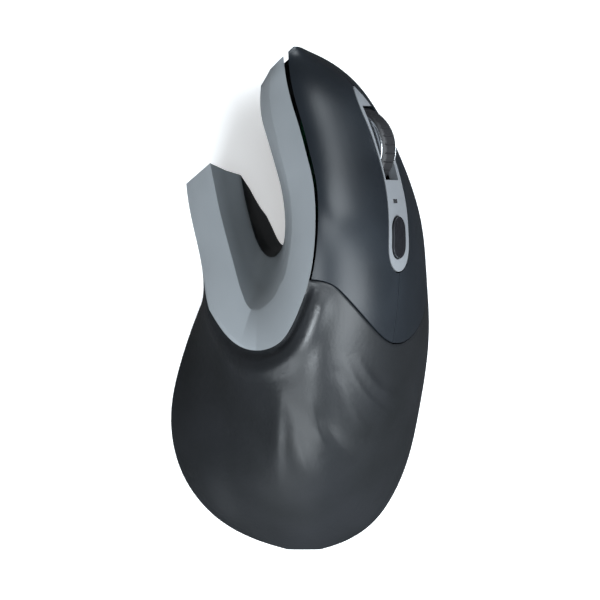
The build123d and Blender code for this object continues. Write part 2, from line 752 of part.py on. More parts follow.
SWITCH_TOP = BOARD_TOP + SWITCH_HEIGHT
TACT_TOP = BOARD_TOP + TACT_HEIGHT
LEFT_PLUNGER_UP = LEFT_SWITCH_UP + LEFT_PLUNGER_SHIFT
DPI_STEM_LOW = TACT_TOP + TACT_PLUNGER_REACH + DPI_TRAVEL_GAP
WHEEL_SPAN = WHEEL_WIDTH + 2 * CRADLE_SIDE_GAP
CRADLE_RIGHT = WHEEL_UP - WHEEL_SPAN / 2 - CRADLE_CHEEK
CRADLE_LEFT = WHEEL_UP + WHEEL_SPAN / 2 + CRADLE_CHEEK
CRADLE_LOW = CRADLE_PIVOT_HEIGHT - CRADLE_BAR / 2
CRADLE_REAR_Y = CRADLE_PIVOT_Y - CRADLE_BAR / 2
CRADLE_LENGTH = WHEEL_Y + CRADLE_CHEEK_LENGTH / 2 - CRADLE_REAR_Y
BORE = AXLE_DIAMETER + 2 * RUNNING_FIT
PIN_BORE = PIN_DIAMETER + 2 * RUNNING_FIT
BAY_FRONT_Y = (BAY_REAR_Y + 2 * CONTACT_THICKNESS + SPRING_LENGTH + BATTERY_LENGTH + BATTERY_TIP)
BAY_LENGTH = BAY_FRONT_Y - BAY_REAR_Y
BAY_MIDDLE_Y = (BAY_FRONT_Y + BAY_REAR_Y) / 2
BATTERY_REAR_Y = BAY_REAR_Y + CONTACT_THICKNESS + SPRING_LENGTH
BATTERY_Z = FOOT_THICKNESS + DOOR_THICKNESS + BATTERY_LIFT + BATTERY_DIAMETER / 2
DOOR_WIDTH = BAY_WIDTH - 2 * DOOR_GAP
DOOR_LENGTH = BAY_LENGTH - 2 * DOOR_GAP
DOOR_PIVOT_Y = BAY_FRONT_Y - DOOR_GAP - DOOR_THICKNESS / 2
DOOR_PIVOT_Z = FOOT_THICKNESS + DOOR_THICKNESS / 2
SENSOR_HOLE_LENGTH = LENS_LENGTH + 2 * FIT_GAP
SENSOR_HOLE_WIDTH = LENS_WIDTH + 2 * FIT_GAP
RECEIVER_MIDDLE_Z = FOOT_THICKNESS + RECEIVER_CAP_HEIGHT
SCREW_RECESS = SCREW_SINK + SCREW_HEAD_HEIGHT
SCREW_RECESS_DIAMETER = SCREW_HEAD_DIAMETER + 2 * SCREW_GAP
THUMB_STEM_END = THUMB_BOARD_X - TACT_HEIGHT - TACT_PLUNGER_REACH - THUMB_TRAVEL_GAP
POWER_SLOT_LENGTH = KNOB_LENGTH + POWER_TRAVEL + 2 * FIT_GAP
FLEX_TURN_UP = FACE_UP.X * FLEX_X + FACE_UP.Z * FLEX_BEND_Z
FLEX_TURN_HEIGHT = FACE_OUT.X * FLEX_X + FACE_OUT.Z * FLEX_BEND_Z

# Bottom case: the root of the build, with bosses, battery bay, sensor window and sockets

with BuildPart() as case_additions:
    with BuildSketch(Plane.XY.offset(FLOOR_TOP)):
        with Locations((BATTERY_X, BAY_MIDDLE_Y)):
            Rectangle(BAY_WIDTH + 2 * BAY_WALL, BAY_LENGTH + 2 * BAY_WALL)
            Rectangle(BAY_WIDTH, BAY_LENGTH, mode=Mode.SUBTRACT)
    extrude(amount=BAY_HEIGHT)
    with BuildSketch(Plane.XY.offset(FLOOR_TOP)):
        with Locations(*BOARD_BOSS_PLACES):
            Circle(BOARD_BOSS_DIAMETER / 2)
    extrude(amount=MAIN_BOARD_LOW - FLOOR_TOP)
    with BuildSketch(Plane.XY.offset(FLOOR_TOP)):
        with Locations((RECEIVER_X, RECEIVER_Y)):
            Rectangle(RECEIVER_THICKNESS + 2 * (SOCKET_WALL + RECEIVER_GAP),
                      RECEIVER_LENGTH + 2 * (SOCKET_WALL + RECEIVER_GAP))
    extrude(amount=SOCKET_HEIGHT)
    add(inner_form, mode=Mode.INTERSECT)

with BuildPart() as bottom_case:
    add(common(shell, case_region(0, 0)))
    add(case_additions.part)
    with BuildSketch():
        with Locations((BATTERY_X, BAY_MIDDLE_Y)):
            Rectangle(BAY_WIDTH, BAY_LENGTH)
        with Locations((SENSOR_X, SENSOR_Y)):
            Rectangle(SENSOR_HOLE_LENGTH, SENSOR_HOLE_WIDTH)
        with Locations((POWER_X, POWER_Y)):
            RectangleRounded(KNOB_WIDTH + 2 * FIT_GAP, POWER_SLOT_LENGTH, FIT_GAP)
        with Locations(*POST_PLACES, *FRAME_SCREW_PLACES):
            Circle(SCREW_DIAMETER / 2 + SCREW_GAP)
    extrude(amount=MAIN_BOARD_LOW, mode=Mode.SUBTRACT)
    with BuildSketch():
        with Locations((RECEIVER_X, RECEIVER_Y)):
            RectangleRounded(RECEIVER_THICKNESS + 2 * RECEIVER_GAP, RECEIVER_LENGTH + 2 * RECEIVER_GAP,
                             RECEIVER_ROUND)
    extrude(amount=RECEIVER_MIDDLE_Z + RECEIVER_GAP, mode=Mode.SUBTRACT)
    with BuildSketch():
        with Locations((RECEIVER_X, RECEIVER_Y)):
            Rectangle(PLUG_THICKNESS + 2 * RECEIVER_GAP, PLUG_LENGTH + 2 * RECEIVER_GAP)
    extrude(amount=BODY_HEIGHT, mode=Mode.SUBTRACT)
    with BuildSketch():
        with Locations(*POST_PLACES, *FRAME_SCREW_PLACES):
            Circle(SCREW_RECESS_DIAMETER / 2)
    extrude(amount=FOOT_THICKNESS + SCREW_RECESS, mode=Mode.SUBTRACT)
    with BuildSketch():
        with Locations((RECEIVER_X - RECEIVER_THICKNESS / 2, RECEIVER_Y)):
            Circle(NAIL_NOTCH_DIAMETER / 2)
    extrude(amount=FOOT_THICKNESS + NAIL_NOTCH_DEPTH, mode=Mode.SUBTRACT)
    with BuildSketch(Plane.XY.offset(FLOOR_TOP)):
        with Locations(*BOARD_BOSS_PLACES):
            Circle(BOARD_SCREW_DIAMETER / 2)
    extrude(amount=MAIN_BOARD_LOW, mode=Mode.SUBTRACT)
    with BuildSketch(Plane.YZ.offset(BATTERY_X - BAY_WIDTH / 2 - DOOR_PIN_LENGTH)):
        with Locations((DOOR_PIVOT_Y, DOOR_PIVOT_Z)):
            Circle(DOOR_PIN_DIAMETER / 2 + RUNNING_FIT)
    extrude(amount=BAY_WIDTH + 2 * DOOR_PIN_LENGTH, mode=Mode.SUBTRACT)

# Palm shell with its two screw posts

with BuildPart() as palm_posts:
    with BuildSketch(Plane.XY.offset(FLOOR_TOP)):
        with Locations(*POST_PLACES):
            Circle(POST_DIAMETER / 2)
    extrude(amount=BODY_HEIGHT)
    add(outer_form, mode=Mode.INTERSECT)
    with BuildSketch(Plane.XY.offset(FLOOR_TOP)):
        with Locations(*POST_PLACES):
            Circle(SCREW_DIAMETER / 2)
    extrude(amount=SCREW_LENGTH, mode=Mode.SUBTRACT)

with BuildPart() as palm_shell:
    add(trimmed(outside_panel, cover_region(0)))
    add(palm_posts.part)

# Thumb panel with two button openings and the posts of the thumb board

thumb_post_places = [(y, THUMB_POST_Z) for y in THUMB_POST_YS]
with BuildPart() as thumb_panel:
    add(panel_shell)
    with BuildSketch(Plane.YZ.offset(THUMB_POST_START_X)):
        with Locations(*thumb_post_places):
            Circle(THUMB_POST_DIAMETER / 2)
    extrude(amount=THUMB_BOARD_X - THUMB_POST_START_X)
    with BuildSketch(Plane.YZ.offset(2 * THUMB_BUTTON_FACE_X)):
        with Locations((BACK_BUTTON_Y, THUMB_BUTTON_Z), (FORWARD_BUTTON_Y, THUMB_BUTTON_Z)):
            RectangleRounded(THUMB_BUTTON_LENGTH + 2 * FIT_GAP, THUMB_BUTTON_HEIGHT + 2 * FIT_GAP,
                             THUMB_BUTTON_ROUND + FIT_GAP)
    extrude(amount=THUMB_FLANGE_X - 2 * THUMB_BUTTON_FACE_X, mode=Mode.SUBTRACT)
    with BuildSketch(Plane.YZ.offset(THUMB_BOARD_X)):
        with Locations(*thumb_post_places):
            Circle(BOARD_SCREW_DIAMETER / 2)
    extrude(amount=-BOARD_SCREW_LENGTH, mode=Mode.SUBTRACT)

# Click keys and the strip between them

key_divider = face_points(KEY_DIVIDER_SHARES)
strip_space = strip_prism(KEY_GAP)


def key_side(offset, edge):
    """Prism over one side of the line between the keys, which lies up the face at the edge."""
    line = shifted(key_divider, offset)
    return face_prism([*line, (line[-1][0], edge), (line[0][0], edge)], 0, OVERRUN)


def key_stem(up):
    """Post under a key that presses on its switch."""
    low = SWITCH_TOP + PLUNGER_REACH + STEM_GAP
    return common(face_box(PLUNGER_Y, up, low, OVERRUN, STEM_LENGTH, STEM_WIDTH), outer_form)


def ridge_gap(x, y):
    """The gap beside the thumb panel widens forward, as the key swings further there."""
    forward = max(0, (y - KEY_HINGE_Y) / (HALF_LENGTH - KEY_HINGE_Y))
    return KEY_GAP + (FRONT_KEY_GAP - KEY_GAP) * forward


slot_length = SLOT_FRONT_Y - SLOT_REAR_Y
wheel_slot = face_box(SLOT_REAR_Y + slot_length / 2, WHEEL_UP, CRADLE_LOW, OVERRUN, slot_length,
                      WHEEL_WIDTH + 2 * SLOT_SIDE_GAP)
ridge_clearance = common(seam_prism(shifted(plan_points(SEAM_SHARES), ridge_gap)), right_of_wing)
channel_clearance = common(channel_cutter(WALL + FRONT_KEY_GAP), right_of_wing)
swing_shift = Location(FACE_OUT * FRONT_KEY_GAP)
high_channel = channel_cutter(WALL, 2 * CHANNEL_RISE)
swing_clearance = common(high_channel.moved(swing_shift), right_of_wing)
key_clearance = case_region(KEY_GAP, FRONT_KEY_GAP)


def key_shell(offset, edge):
    """The cover on one side of the line, less the gaps to everything beside it."""
    return trimmed(cover_shell, strip_space, wheel_slot, key_side(offset, edge), ridge_clearance,
                   channel_clearance, swing_clearance, key_clearance)


with BuildPart() as left_key:
    add(key_shell(-DIVIDER_GAP / 2, -OVERRUN))
    add(key_stem(LEFT_PLUNGER_UP))

with BuildPart() as right_key:
    add(key_shell(DIVIDER_GAP / 2, OVERRUN))
    add(key_stem(RIGHT_SWITCH_UP))

with BuildPart() as strip_legs:
    with BuildSketch(face_plane(BOARD_TOP)):
        with Locations(*STRIP_LEG_PLACES):
            Rectangle(STRIP_LEG_LENGTH, STRIP_LEG_WIDTH)
    extrude(amount=OVERRUN)
    add(outer_form, mode=Mode.INTERSECT)

with BuildPart() as accent_strip:
    add(common(cover_shell, strip_prism(0)))
    add(strip_legs.part)
    with BuildSketch(face_plane(DPI_FLANGE_HEIGHT - DPI_FLANGE_THICKNESS)):
        with Locations((LIGHT_Y, LIGHT_UP)):
            Rectangle(LIGHT_LENGTH, LIGHT_WIDTH)
        with Locations((DPI_Y, DPI_UP)):
            SlotOverall(DPI_LENGTH + 2 * FIT_GAP, DPI_WIDTH + 2 * FIT_GAP)
    extrude(amount=OVERRUN, mode=Mode.SUBTRACT)
    add(wheel_slot, mode=Mode.SUBTRACT)

# Resolution button, its lamp and light pipe

proud_form = outer_form.moved(Location(FACE_OUT * DPI_PROUD))
with BuildPart() as dpi_button:
    with BuildSketch(face_plane(DPI_FLANGE_HEIGHT)):
        with Locations((DPI_Y, DPI_UP)):
            SlotOverall(DPI_LENGTH, DPI_WIDTH)
    extrude(amount=OVERRUN)
    add(proud_form, mode=Mode.INTERSECT)
    with BuildSketch(face_plane(DPI_FLANGE_HEIGHT)):
        with Locations((DPI_Y, DPI_UP)):
            SlotOverall(DPI_LENGTH + 2 * DPI_FLANGE, DPI_WIDTH + 2 * DPI_FLANGE)
    extrude(amount=DPI_FLANGE_THICKNESS)
    with BuildSketch(face_plane(DPI_STEM_LOW)):
        with Locations((DPI_Y, DPI_UP)):
            Circle(DPI_STEM_DIAMETER / 2)
    extrude(amount=DPI_FLANGE_HEIGHT - DPI_STEM_LOW)

with BuildPart() as light_pipe:
    with BuildSketch(face_plane(LIGHT_SHELF_HEIGHT)):
        with Locations((LIGHT_Y, LIGHT_UP)):
            Rectangle(LIGHT_LENGTH, LIGHT_WIDTH)
    extrude(amount=OVERRUN)
    add(outer_form, mode=Mode.INTERSECT)
    with BuildSketch(face_plane(LIGHT_SHELF_HEIGHT)):
        with Locations(((LIGHT_Y + LIGHT_FOOT_Y) / 2, LIGHT_UP)):
            Rectangle(LIGHT_Y - LIGHT_FOOT_Y + LIGHT_LENGTH, LIGHT_WIDTH)
    extrude(amount=LIGHT_LENGTH)
    with BuildSketch(face_plane(BOARD_TOP + LED_HEIGHT)):
        with Locations((LIGHT_FOOT_Y, LIGHT_UP)):
            Rectangle(LIGHT_LENGTH, LIGHT_WIDTH)
    extrude(amount=LIGHT_SHELF_HEIGHT - BOARD_TOP - LED_HEIGHT)

with BuildPart() as indicator_led:
    with BuildSketch(face_plane(BOARD_TOP)):
        with Locations((LIGHT_FOOT_Y, LIGHT_UP)):
            Rectangle(LED_LENGTH, LIGHT_WIDTH)
    extrude(amount=LED_HEIGHT)

# Wheel: hub, side rings, grooved tyre, axle, cradle and encoder

def wheel_plane(up):
    """Plane square to the axle."""
    return Plane(origin=face_point(WHEEL_Y, up, WHEEL_HEIGHT), x_dir=(0, 1, 0), z_dir=FACE_UP)


wheel_low = WHEEL_UP - WHEEL_WIDTH / 2
wheel_high = WHEEL_UP + WHEEL_WIDTH / 2
HUB_DIAMETER = WHEEL_DIAMETER - 2 * TYRE_THICKNESS

with BuildPart() as wheel_hub:
    with BuildSketch(wheel_plane(wheel_low + RING_THICKNESS)):
        Circle(HUB_DIAMETER / 2)
        Circle(AXLE_DIAMETER / 2, mode=Mode.SUBTRACT)
    extrude(amount=WHEEL_WIDTH - 2 * RING_THICKNESS)

with BuildPart() as wheel_rings:
    for side in (wheel_low, wheel_high - RING_THICKNESS):
        with BuildSketch(wheel_plane(side)):
            Circle(RING_DIAMETER / 2)
            Circle(RING_DIAMETER / 2 - RING_WIDTH, mode=Mode.SUBTRACT)
        extrude(amount=RING_THICKNESS)

with BuildPart() as wheel_tyre:
    with BuildSketch(wheel_plane(wheel_low)):
        Circle(WHEEL_DIAMETER / 2)
    extrude(amount=WHEEL_WIDTH)
    fillet(wheel_tyre.edges(), TYRE_ROUND)
    with BuildSketch(wheel_plane(wheel_low)):
        Circle(HUB_DIAMETER / 2)
        with PolarLocations(WHEEL_DIAMETER / 2, TYRE_GROOVES):
            Circle(TYRE_GROOVE / 2)
    extrude(amount=WHEEL_WIDTH, mode=Mode.SUBTRACT)

with BuildPart() as wheel_axle:
    with BuildSketch(wheel_plane(CRADLE_RIGHT)):
        Circle(AXLE_DIAMETER / 2)
    extrude(amount=CRADLE_LEFT - CRADLE_RIGHT + ENCODER_THICKNESS)

leg_low = TACT_TOP + TACT_PLUNGER_REACH + STEM_GAP
arm_width = CRADLE_RIGHT + CRADLE_CHEEK - CLICK_UP + CRADLE_LEG_WIDTH / 2
with BuildPart() as wheel_cradle:
    with BuildSketch(face_plane(CRADLE_LOW)):
        with Locations((CRADLE_REAR_Y + CRADLE_LENGTH / 2, WHEEL_UP)):
            Rectangle(CRADLE_LENGTH, CRADLE_LEFT - CRADLE_RIGHT)
        with Locations((CRADLE_REAR_Y + CRADLE_LENGTH / 2 + CRADLE_BAR, WHEEL_UP)):
            Rectangle(CRADLE_LENGTH, WHEEL_SPAN, mode=Mode.SUBTRACT)
        with Locations((CLICK_Y, CLICK_UP - CRADLE_LEG_WIDTH / 2 + arm_width / 2)):
            Rectangle(CRADLE_LEG_LENGTH, arm_width)
    extrude(amount=CRADLE_BAR)
    with BuildSketch(face_plane(CRADLE_LOW)):
        with Locations((WHEEL_Y, CRADLE_RIGHT + CRADLE_CHEEK / 2), (WHEEL_Y, CRADLE_LEFT - CRADLE_CHEEK / 2)):
            Rectangle(CRADLE_CHEEK_LENGTH, CRADLE_CHEEK)
    extrude(amount=WHEEL_HEIGHT - CRADLE_LOW + CRADLE_CHEEK_RISE)
    with BuildSketch(face_plane(leg_low)):
        with Locations((CLICK_Y, CLICK_UP)):
            Rectangle(CRADLE_LEG_LENGTH, CRADLE_LEG_WIDTH)
    extrude(amount=CRADLE_LOW - leg_low)
    pin_span = CRADLE_SIDE_GAP + PIN_LENGTH
    add(cross_rod(CRADLE_PIVOT_Y, CRADLE_PIVOT_HEIGHT, CRADLE_RIGHT - pin_span, CRADLE_RIGHT, PIN_DIAMETER))
    add(cross_rod(CRADLE_PIVOT_Y, CRADLE_PIVOT_HEIGHT, CRADLE_LEFT, CRADLE_LEFT + pin_span, PIN_DIAMETER))
    add(cross_rod(WHEEL_Y, WHEEL_HEIGHT, CRADLE_RIGHT, CRADLE_LEFT, BORE), mode=Mode.SUBTRACT)

with BuildPart() as wheel_encoder:
    with BuildSketch(wheel_plane(CRADLE_LEFT)):
        Rectangle(ENCODER_LENGTH, ENCODER_HEIGHT)
        Circle(BORE / 2, mode=Mode.SUBTRACT)
    extrude(amount=ENCODER_THICKNESS)

# Inner frame: tray, ribs, feet and the ears that hold the cradle's pins

EAR_INNER = CRADLE_SIDE_GAP
ear_ups = (CRADLE_RIGHT - EAR_INNER - EAR_THICKNESS / 2, CRADLE_LEFT + EAR_INNER + EAR_THICKNESS / 2)
ear_places = [(CRADLE_PIVOT_Y, up) for up in ear_ups]
board_outline = face_points(SLOPING_BOARD_SHARES)


def rib(middle_y, feet, upper_shares):
    """Upright rib across the mouse, from the floor to the tray."""
    foot_left, foot_right = [share * HALF_WIDTH for share in feet]
    side = [(x * HALF_WIDTH, z * BODY_HEIGHT) for x, z in upper_shares]
    with BuildPart() as web:
        with BuildSketch(Plane.XZ.offset(-middle_y - RIB_THICKNESS / 2)):
            with BuildLine():
                Polyline((foot_left, FLOOR_TOP), (foot_right, FLOOR_TOP), *side, close=True)
            make_face()
        extrude(amount=RIB_THICKNESS)
    return web.part


def foot_block(x, y):
    return upright_box(x, y, FLOOR_TOP, FLOOR_TOP + FRAME_FOOT_HEIGHT, FRAME_FOOT_LENGTH, FRAME_FOOT_LENGTH)


with BuildPart() as inner_frame:
    with BuildSketch(face_plane(TRAY_LOW)):
        with BuildLine():
            Polyline(*board_outline, close=True)
        make_face()
        with Locations((WHEEL_Y, WHEEL_UP)):
            Rectangle(WHEEL_OPENING, WHEEL_SPAN, mode=Mode.SUBTRACT)
        with Locations((FLEX_Y, FLEX_TURN_UP)):
            Rectangle(FLEX_WIDTH + 2 * FIT_GAP, FLEX_THICKNESS + 2 * FIT_GAP, mode=Mode.SUBTRACT)
    extrude(amount=TRAY_THICKNESS)
    with BuildSketch(face_plane(BOARD_LOW)):
        with Locations(*ear_places):
            Rectangle(EAR_LENGTH, EAR_THICKNESS)
    extrude(amount=CRADLE_PIVOT_HEIGHT + EAR_RISE - BOARD_LOW)
    add(rib(REAR_RIB_Y, REAR_RIB_FOOT_SHARES, REAR_RIB_SHARES))
    add(rib(FRONT_RIB_Y, FRONT_RIB_FOOT_SHARES, FRONT_RIB_SHARES))
    for foot_x, foot_y in FRAME_SCREW_PLACES:
        add(foot_block(foot_x, foot_y))
    with BuildSketch(face_plane(TRAY_LOW)):
        with Locations(*TRAY_SCREW_PLACES):
            Circle(TRAY_BOSS_DIAMETER / 2)
    extrude(amount=-TRAY_BOSS_DEPTH)
    with BuildSketch(Plane.XY.offset(FLOOR_TOP)):
        with Locations(*FRAME_SCREW_PLACES):
            Circle(SCREW_DIAMETER / 2)
    extrude(amount=SCREW_LENGTH, mode=Mode.SUBTRACT)
    with BuildSketch(face_plane(BOARD_TOP)):
        with Locations(*TRAY_SCREW_PLACES):
            Circle(BOARD_SCREW_DIAMETER / 2)
    extrude(amount=-BOARD_SCREW_LENGTH, mode=Mode.SUBTRACT)
    add(cross_rod(CRADLE_PIVOT_Y, CRADLE_PIVOT_HEIGHT, ear_ups[0] - EAR_THICKNESS, ear_ups[1] + EAR_THICKNESS,
                  PIN_BORE), mode=Mode.SUBTRACT)

with BuildPart() as button_board:
    with BuildSketch(face_plane(BOARD_LOW)):
        with BuildLine():
            Polyline(*board_outline, close=True)
        make_face()
        with Locations((WHEEL_Y, WHEEL_UP)):
            Rectangle(WHEEL_OPENING, WHEEL_SPAN, mode=Mode.SUBTRACT)
        with Locations(*ear_places):
            Rectangle(EAR_LENGTH + FIT_GAP, EAR_THICKNESS + FIT_GAP, mode=Mode.SUBTRACT)
        with Locations(*TRAY_SCREW_PLACES):
            Circle(BOARD_SCREW_DIAMETER / 2, mode=Mode.SUBTRACT)
    extrude(amount=BOARD_THICKNESS)

# Switches and plungers on the sloping board

def key_switch(switch_up, plunger_up):
    """Box switch with two pin holes through its sides and a bore for its plunger."""
    body = face_box(SWITCH_Y, switch_up, BOARD_TOP, SWITCH_TOP, SWITCH_LENGTH, SWITCH_WIDTH)
    bore = face_rod(PLUNGER_Y, plunger_up, SWITCH_TOP - PLUNGER_BORE_DEPTH, SWITCH_TOP,
                    PLUNGER_DIAMETER + 2 * RUNNING_FIT)
    holes = [
        cross_rod(SWITCH_Y + side * SWITCH_PIN_SPACING / 2, BOARD_TOP + 2 * SWITCH_PIN_HOLE,
                  switch_up - SWITCH_WIDTH, switch_up + SWITCH_WIDTH, SWITCH_PIN_HOLE)
        for side in (-1, 1)
    ]
    return trimmed(body, bore, *holes)


def key_plunger(up):
    return face_rod(PLUNGER_Y, up, SWITCH_TOP - PLUNGER_BORE_DEPTH + PLUNGER_SEAT, SWITCH_TOP + PLUNGER_REACH,
                    PLUNGER_DIAMETER)


def tact_switch(forward, up):
    body = face_box(forward, up, BOARD_TOP, TACT_TOP, TACT_SIZE, TACT_SIZE)
    bore_diameter = TACT_PLUNGER_DIAMETER + 2 * RUNNING_FIT
    bore = face_rod(forward, up, TACT_TOP - TACT_BORE_DEPTH, TACT_TOP, bore_diameter)
    return trimmed(body, bore)


def tact_plunger(forward, up):
    low = TACT_TOP - TACT_BORE_DEPTH + TACT_PLUNGER_SEAT
    return face_rod(forward, up, low, TACT_TOP + TACT_PLUNGER_REACH, TACT_PLUNGER_DIAMETER)


with BuildPart() as left_switch:
    add(key_switch(LEFT_SWITCH_UP, LEFT_PLUNGER_UP))
with BuildPart() as right_switch:
    add(key_switch(RIGHT_SWITCH_UP, RIGHT_SWITCH_UP))
with BuildPart() as left_plunger:
    add(key_plunger(LEFT_PLUNGER_UP))
with BuildPart() as right_plunger:
    add(key_plunger(RIGHT_SWITCH_UP))
with BuildPart() as middle_switch:
    add(tact_switch(CLICK_Y, CLICK_UP))
with BuildPart() as middle_plunger:
    add(tact_plunger(CLICK_Y, CLICK_UP))
with BuildPart() as dpi_switch:
    add(tact_switch(DPI_Y, DPI_UP))
with BuildPart() as dpi_plunger:
    add(tact_plunger(DPI_Y, DPI_UP))

# Thumb buttons, their board and switches

def thumb_button(y):
    """Rounded pad in the wall of the channel, with a flange behind it and a stem."""
    pad = side_pad(THUMB_BUTTON_FACE_X, THUMB_FLANGE_X, y, THUMB_BUTTON_Z, THUMB_BUTTON_LENGTH,
                   THUMB_BUTTON_HEIGHT, THUMB_BUTTON_ROUND)
    flange = side_pad(THUMB_FLANGE_X, THUMB_FLANGE_X + THUMB_FLANGE_THICKNESS, y, THUMB_BUTTON_Z,
                      THUMB_BUTTON_LENGTH + 2 * THUMB_FLANGE, THUMB_BUTTON_HEIGHT + 2 * THUMB_FLANGE,
                      THUMB_BUTTON_ROUND)
    stem = side_rod(THUMB_FLANGE_X, THUMB_STEM_END, y, THUMB_BUTTON_Z, THUMB_STEM_DIAMETER)
    outer_edges = pad.faces().sort_by(Axis.X)[0].edges()
    soft_pad = pad.fillet(THUMB_BUTTON_ROUND / 2, outer_edges)
    return fused(soft_pad, flange, stem)


def thumb_switch(y):
    face_x = THUMB_BOARD_X - TACT_HEIGHT
    with BuildPart() as body:
        with BuildSketch(Plane.YZ.offset(face_x)):
            with Locations((y, THUMB_BUTTON_Z)):
                Rectangle(TACT_SIZE, TACT_SIZE)
        extrude(amount=TACT_HEIGHT)
        add(side_rod(face_x, face_x + TACT_BORE_DEPTH, y, THUMB_BUTTON_Z,
                     TACT_PLUNGER_DIAMETER + 2 * RUNNING_FIT), mode=Mode.SUBTRACT)
    return body.part


def thumb_plunger(y):
    face_x = THUMB_BOARD_X - TACT_HEIGHT
    return side_rod(face_x - TACT_PLUNGER_REACH, face_x + TACT_BORE_DEPTH - TACT_PLUNGER_SEAT, y,
                    THUMB_BUTTON_Z, TACT_PLUNGER_DIAMETER)


with BuildPart() as back_button:
    add(thumb_button(BACK_BUTTON_Y))
with BuildPart() as forward_button:
    add(thumb_button(FORWARD_BUTTON_Y))
with BuildPart() as back_switch:
    add(thumb_switch(BACK_BUTTON_Y))
with BuildPart() as forward_switch:
    add(thumb_switch(FORWARD_BUTTON_Y))
with BuildPart() as back_plunger:
    add(thumb_plunger(BACK_BUTTON_Y))
with BuildPart() as forward_plunger:
    add(thumb_plunger(FORWARD_BUTTON_Y))

with BuildPart() as thumb_board:
    with BuildSketch(Plane.YZ.offset(THUMB_BOARD_X)):
        with Locations((THUMB_BOARD_Y, THUMB_BOARD_Z)):
            Rectangle(THUMB_BOARD_LENGTH, THUMB_BOARD_HEIGHT)
        with Locations(*thumb_post_places):
            Circle(BOARD_SCREW_DIAMETER / 2, mode=Mode.SUBTRACT)
    extrude(amount=THUMB_BOARD_THICKNESS)

with BuildPart() as thumb_cable:
    with BuildSketch(Plane.XY.offset(MAIN_BOARD_TOP)):
        with Locations((THUMB_BOARD_X + THUMB_BOARD_THICKNESS / 2, THUMB_CABLE_Y)):
            Rectangle(FLEX_THICKNESS, THUMB_CABLE_WIDTH)
    extrude(amount=THUMB_BOARD_Z - THUMB_BOARD_HEIGHT / 2 - MAIN_BOARD_TOP)

# Main board with sensor, lens, controller and the flat cable to the sloping board

with BuildPart() as main_board:
    with BuildSketch(Plane.XY.offset(MAIN_BOARD_LOW)):
        with BuildLine():
            Polyline(*plan_points(MAIN_BOARD_SHARES), close=True)
        make_face()
        with Locations(*BOARD_BOSS_PLACES):
            Circle(BOARD_SCREW_DIAMETER / 2, mode=Mode.SUBTRACT)
        with Locations((SENSOR_X, SENSOR_Y)):
            Circle(LIGHT_HOLE / 2, mode=Mode.SUBTRACT)
    extrude(amount=MAIN_BOARD_THICKNESS)

with BuildPart() as sensor_chip:
    with BuildSketch(Plane.XY.offset(MAIN_BOARD_TOP)):
        with Locations((SENSOR_X, SENSOR_Y)):
            Rectangle(SENSOR_LENGTH, SENSOR_WIDTH)
    extrude(amount=SENSOR_HEIGHT)

with BuildPart() as sensor_lens:
    with BuildSketch(Plane.XY.offset(FOOT_THICKNESS + LENS_RECESS)):
        with Locations((SENSOR_X, SENSOR_Y)):
            Rectangle(LENS_LENGTH, LENS_WIDTH)
    extrude(amount=MAIN_BOARD_LOW - FOOT_THICKNESS - LENS_RECESS)
    with BuildSketch(Plane.XY.offset(FLOOR_TOP)):
        with Locations((SENSOR_X, SENSOR_Y)):
            Rectangle(LENS_LENGTH + 2 * LENS_FLANGE, LENS_WIDTH + 2 * LENS_FLANGE)
    extrude(amount=LENS_FLANGE_THICKNESS)

with BuildPart() as controller_chip:
    with BuildSketch(Plane.XY.offset(MAIN_BOARD_TOP)):
        with Locations((CHIP_X, CHIP_Y)):
            Rectangle(CHIP_SIZE, CHIP_SIZE)
    extrude(amount=CHIP_HEIGHT)

with BuildPart() as board_flex:
    with BuildSketch(Plane.XY.offset(MAIN_BOARD_TOP)):
        with Locations((FLEX_X, FLEX_Y)):
            Rectangle(FLEX_THICKNESS, FLEX_WIDTH)
    extrude(amount=FLEX_BEND_Z - MAIN_BOARD_TOP)
    with BuildSketch(face_plane(FLEX_TURN_HEIGHT - FLEX_THICKNESS / 2)):
        with Locations((FLEX_Y, FLEX_TURN_UP)):
            Rectangle(FLEX_WIDTH, FLEX_THICKNESS)
    extrude(amount=BOARD_LOW - FLEX_TURN_HEIGHT + FLEX_THICKNESS / 2)

# Battery, contacts, leaf spring and door

with BuildPart() as battery:
    with BuildSketch(Plane.XZ.offset(-BATTERY_REAR_Y)):
        with Locations((BATTERY_X, BATTERY_Z)):
            Circle(BATTERY_DIAMETER / 2)
    extrude(amount=-BATTERY_LENGTH)
    fillet(battery.edges(), BATTERY_ROUND)
    with BuildSketch(Plane.XZ.offset(-BATTERY_REAR_Y - BATTERY_LENGTH)):
        with Locations((BATTERY_X, BATTERY_Z)):
            Circle(BATTERY_TIP_DIAMETER / 2)
    extrude(amount=-BATTERY_TIP)

with BuildPart() as battery_contacts:
    for plate_y in (BAY_REAR_Y, BAY_FRONT_Y - CONTACT_THICKNESS):
        with BuildSketch(Plane.XZ.offset(-plate_y)):
            with Locations((BATTERY_X, BATTERY_Z)):
                Rectangle(CONTACT_SIZE, CONTACT_SIZE)
        extrude(amount=-CONTACT_THICKNESS)

plate_front = BAY_REAR_Y + CONTACT_THICKNESS
with BuildPart() as battery_spring:
    with BuildSketch(Plane.YZ.offset(BATTERY_X - SPRING_WIDTH / 2)):
        with BuildLine():
            Polyline(
                (plate_front, BATTERY_Z - SPRING_HEIGHT / 2),
                (plate_front + SPRING_LEAF, BATTERY_Z - SPRING_HEIGHT / 2),
                (BATTERY_REAR_Y, BATTERY_Z),
                (plate_front + SPRING_LEAF, BATTERY_Z + SPRING_HEIGHT / 2),
                (plate_front, BATTERY_Z + SPRING_HEIGHT / 2),
                (BATTERY_REAR_Y - SPRING_LEAF, BATTERY_Z),
                close=True,
            )
        make_face()
    extrude(amount=SPRING_WIDTH)

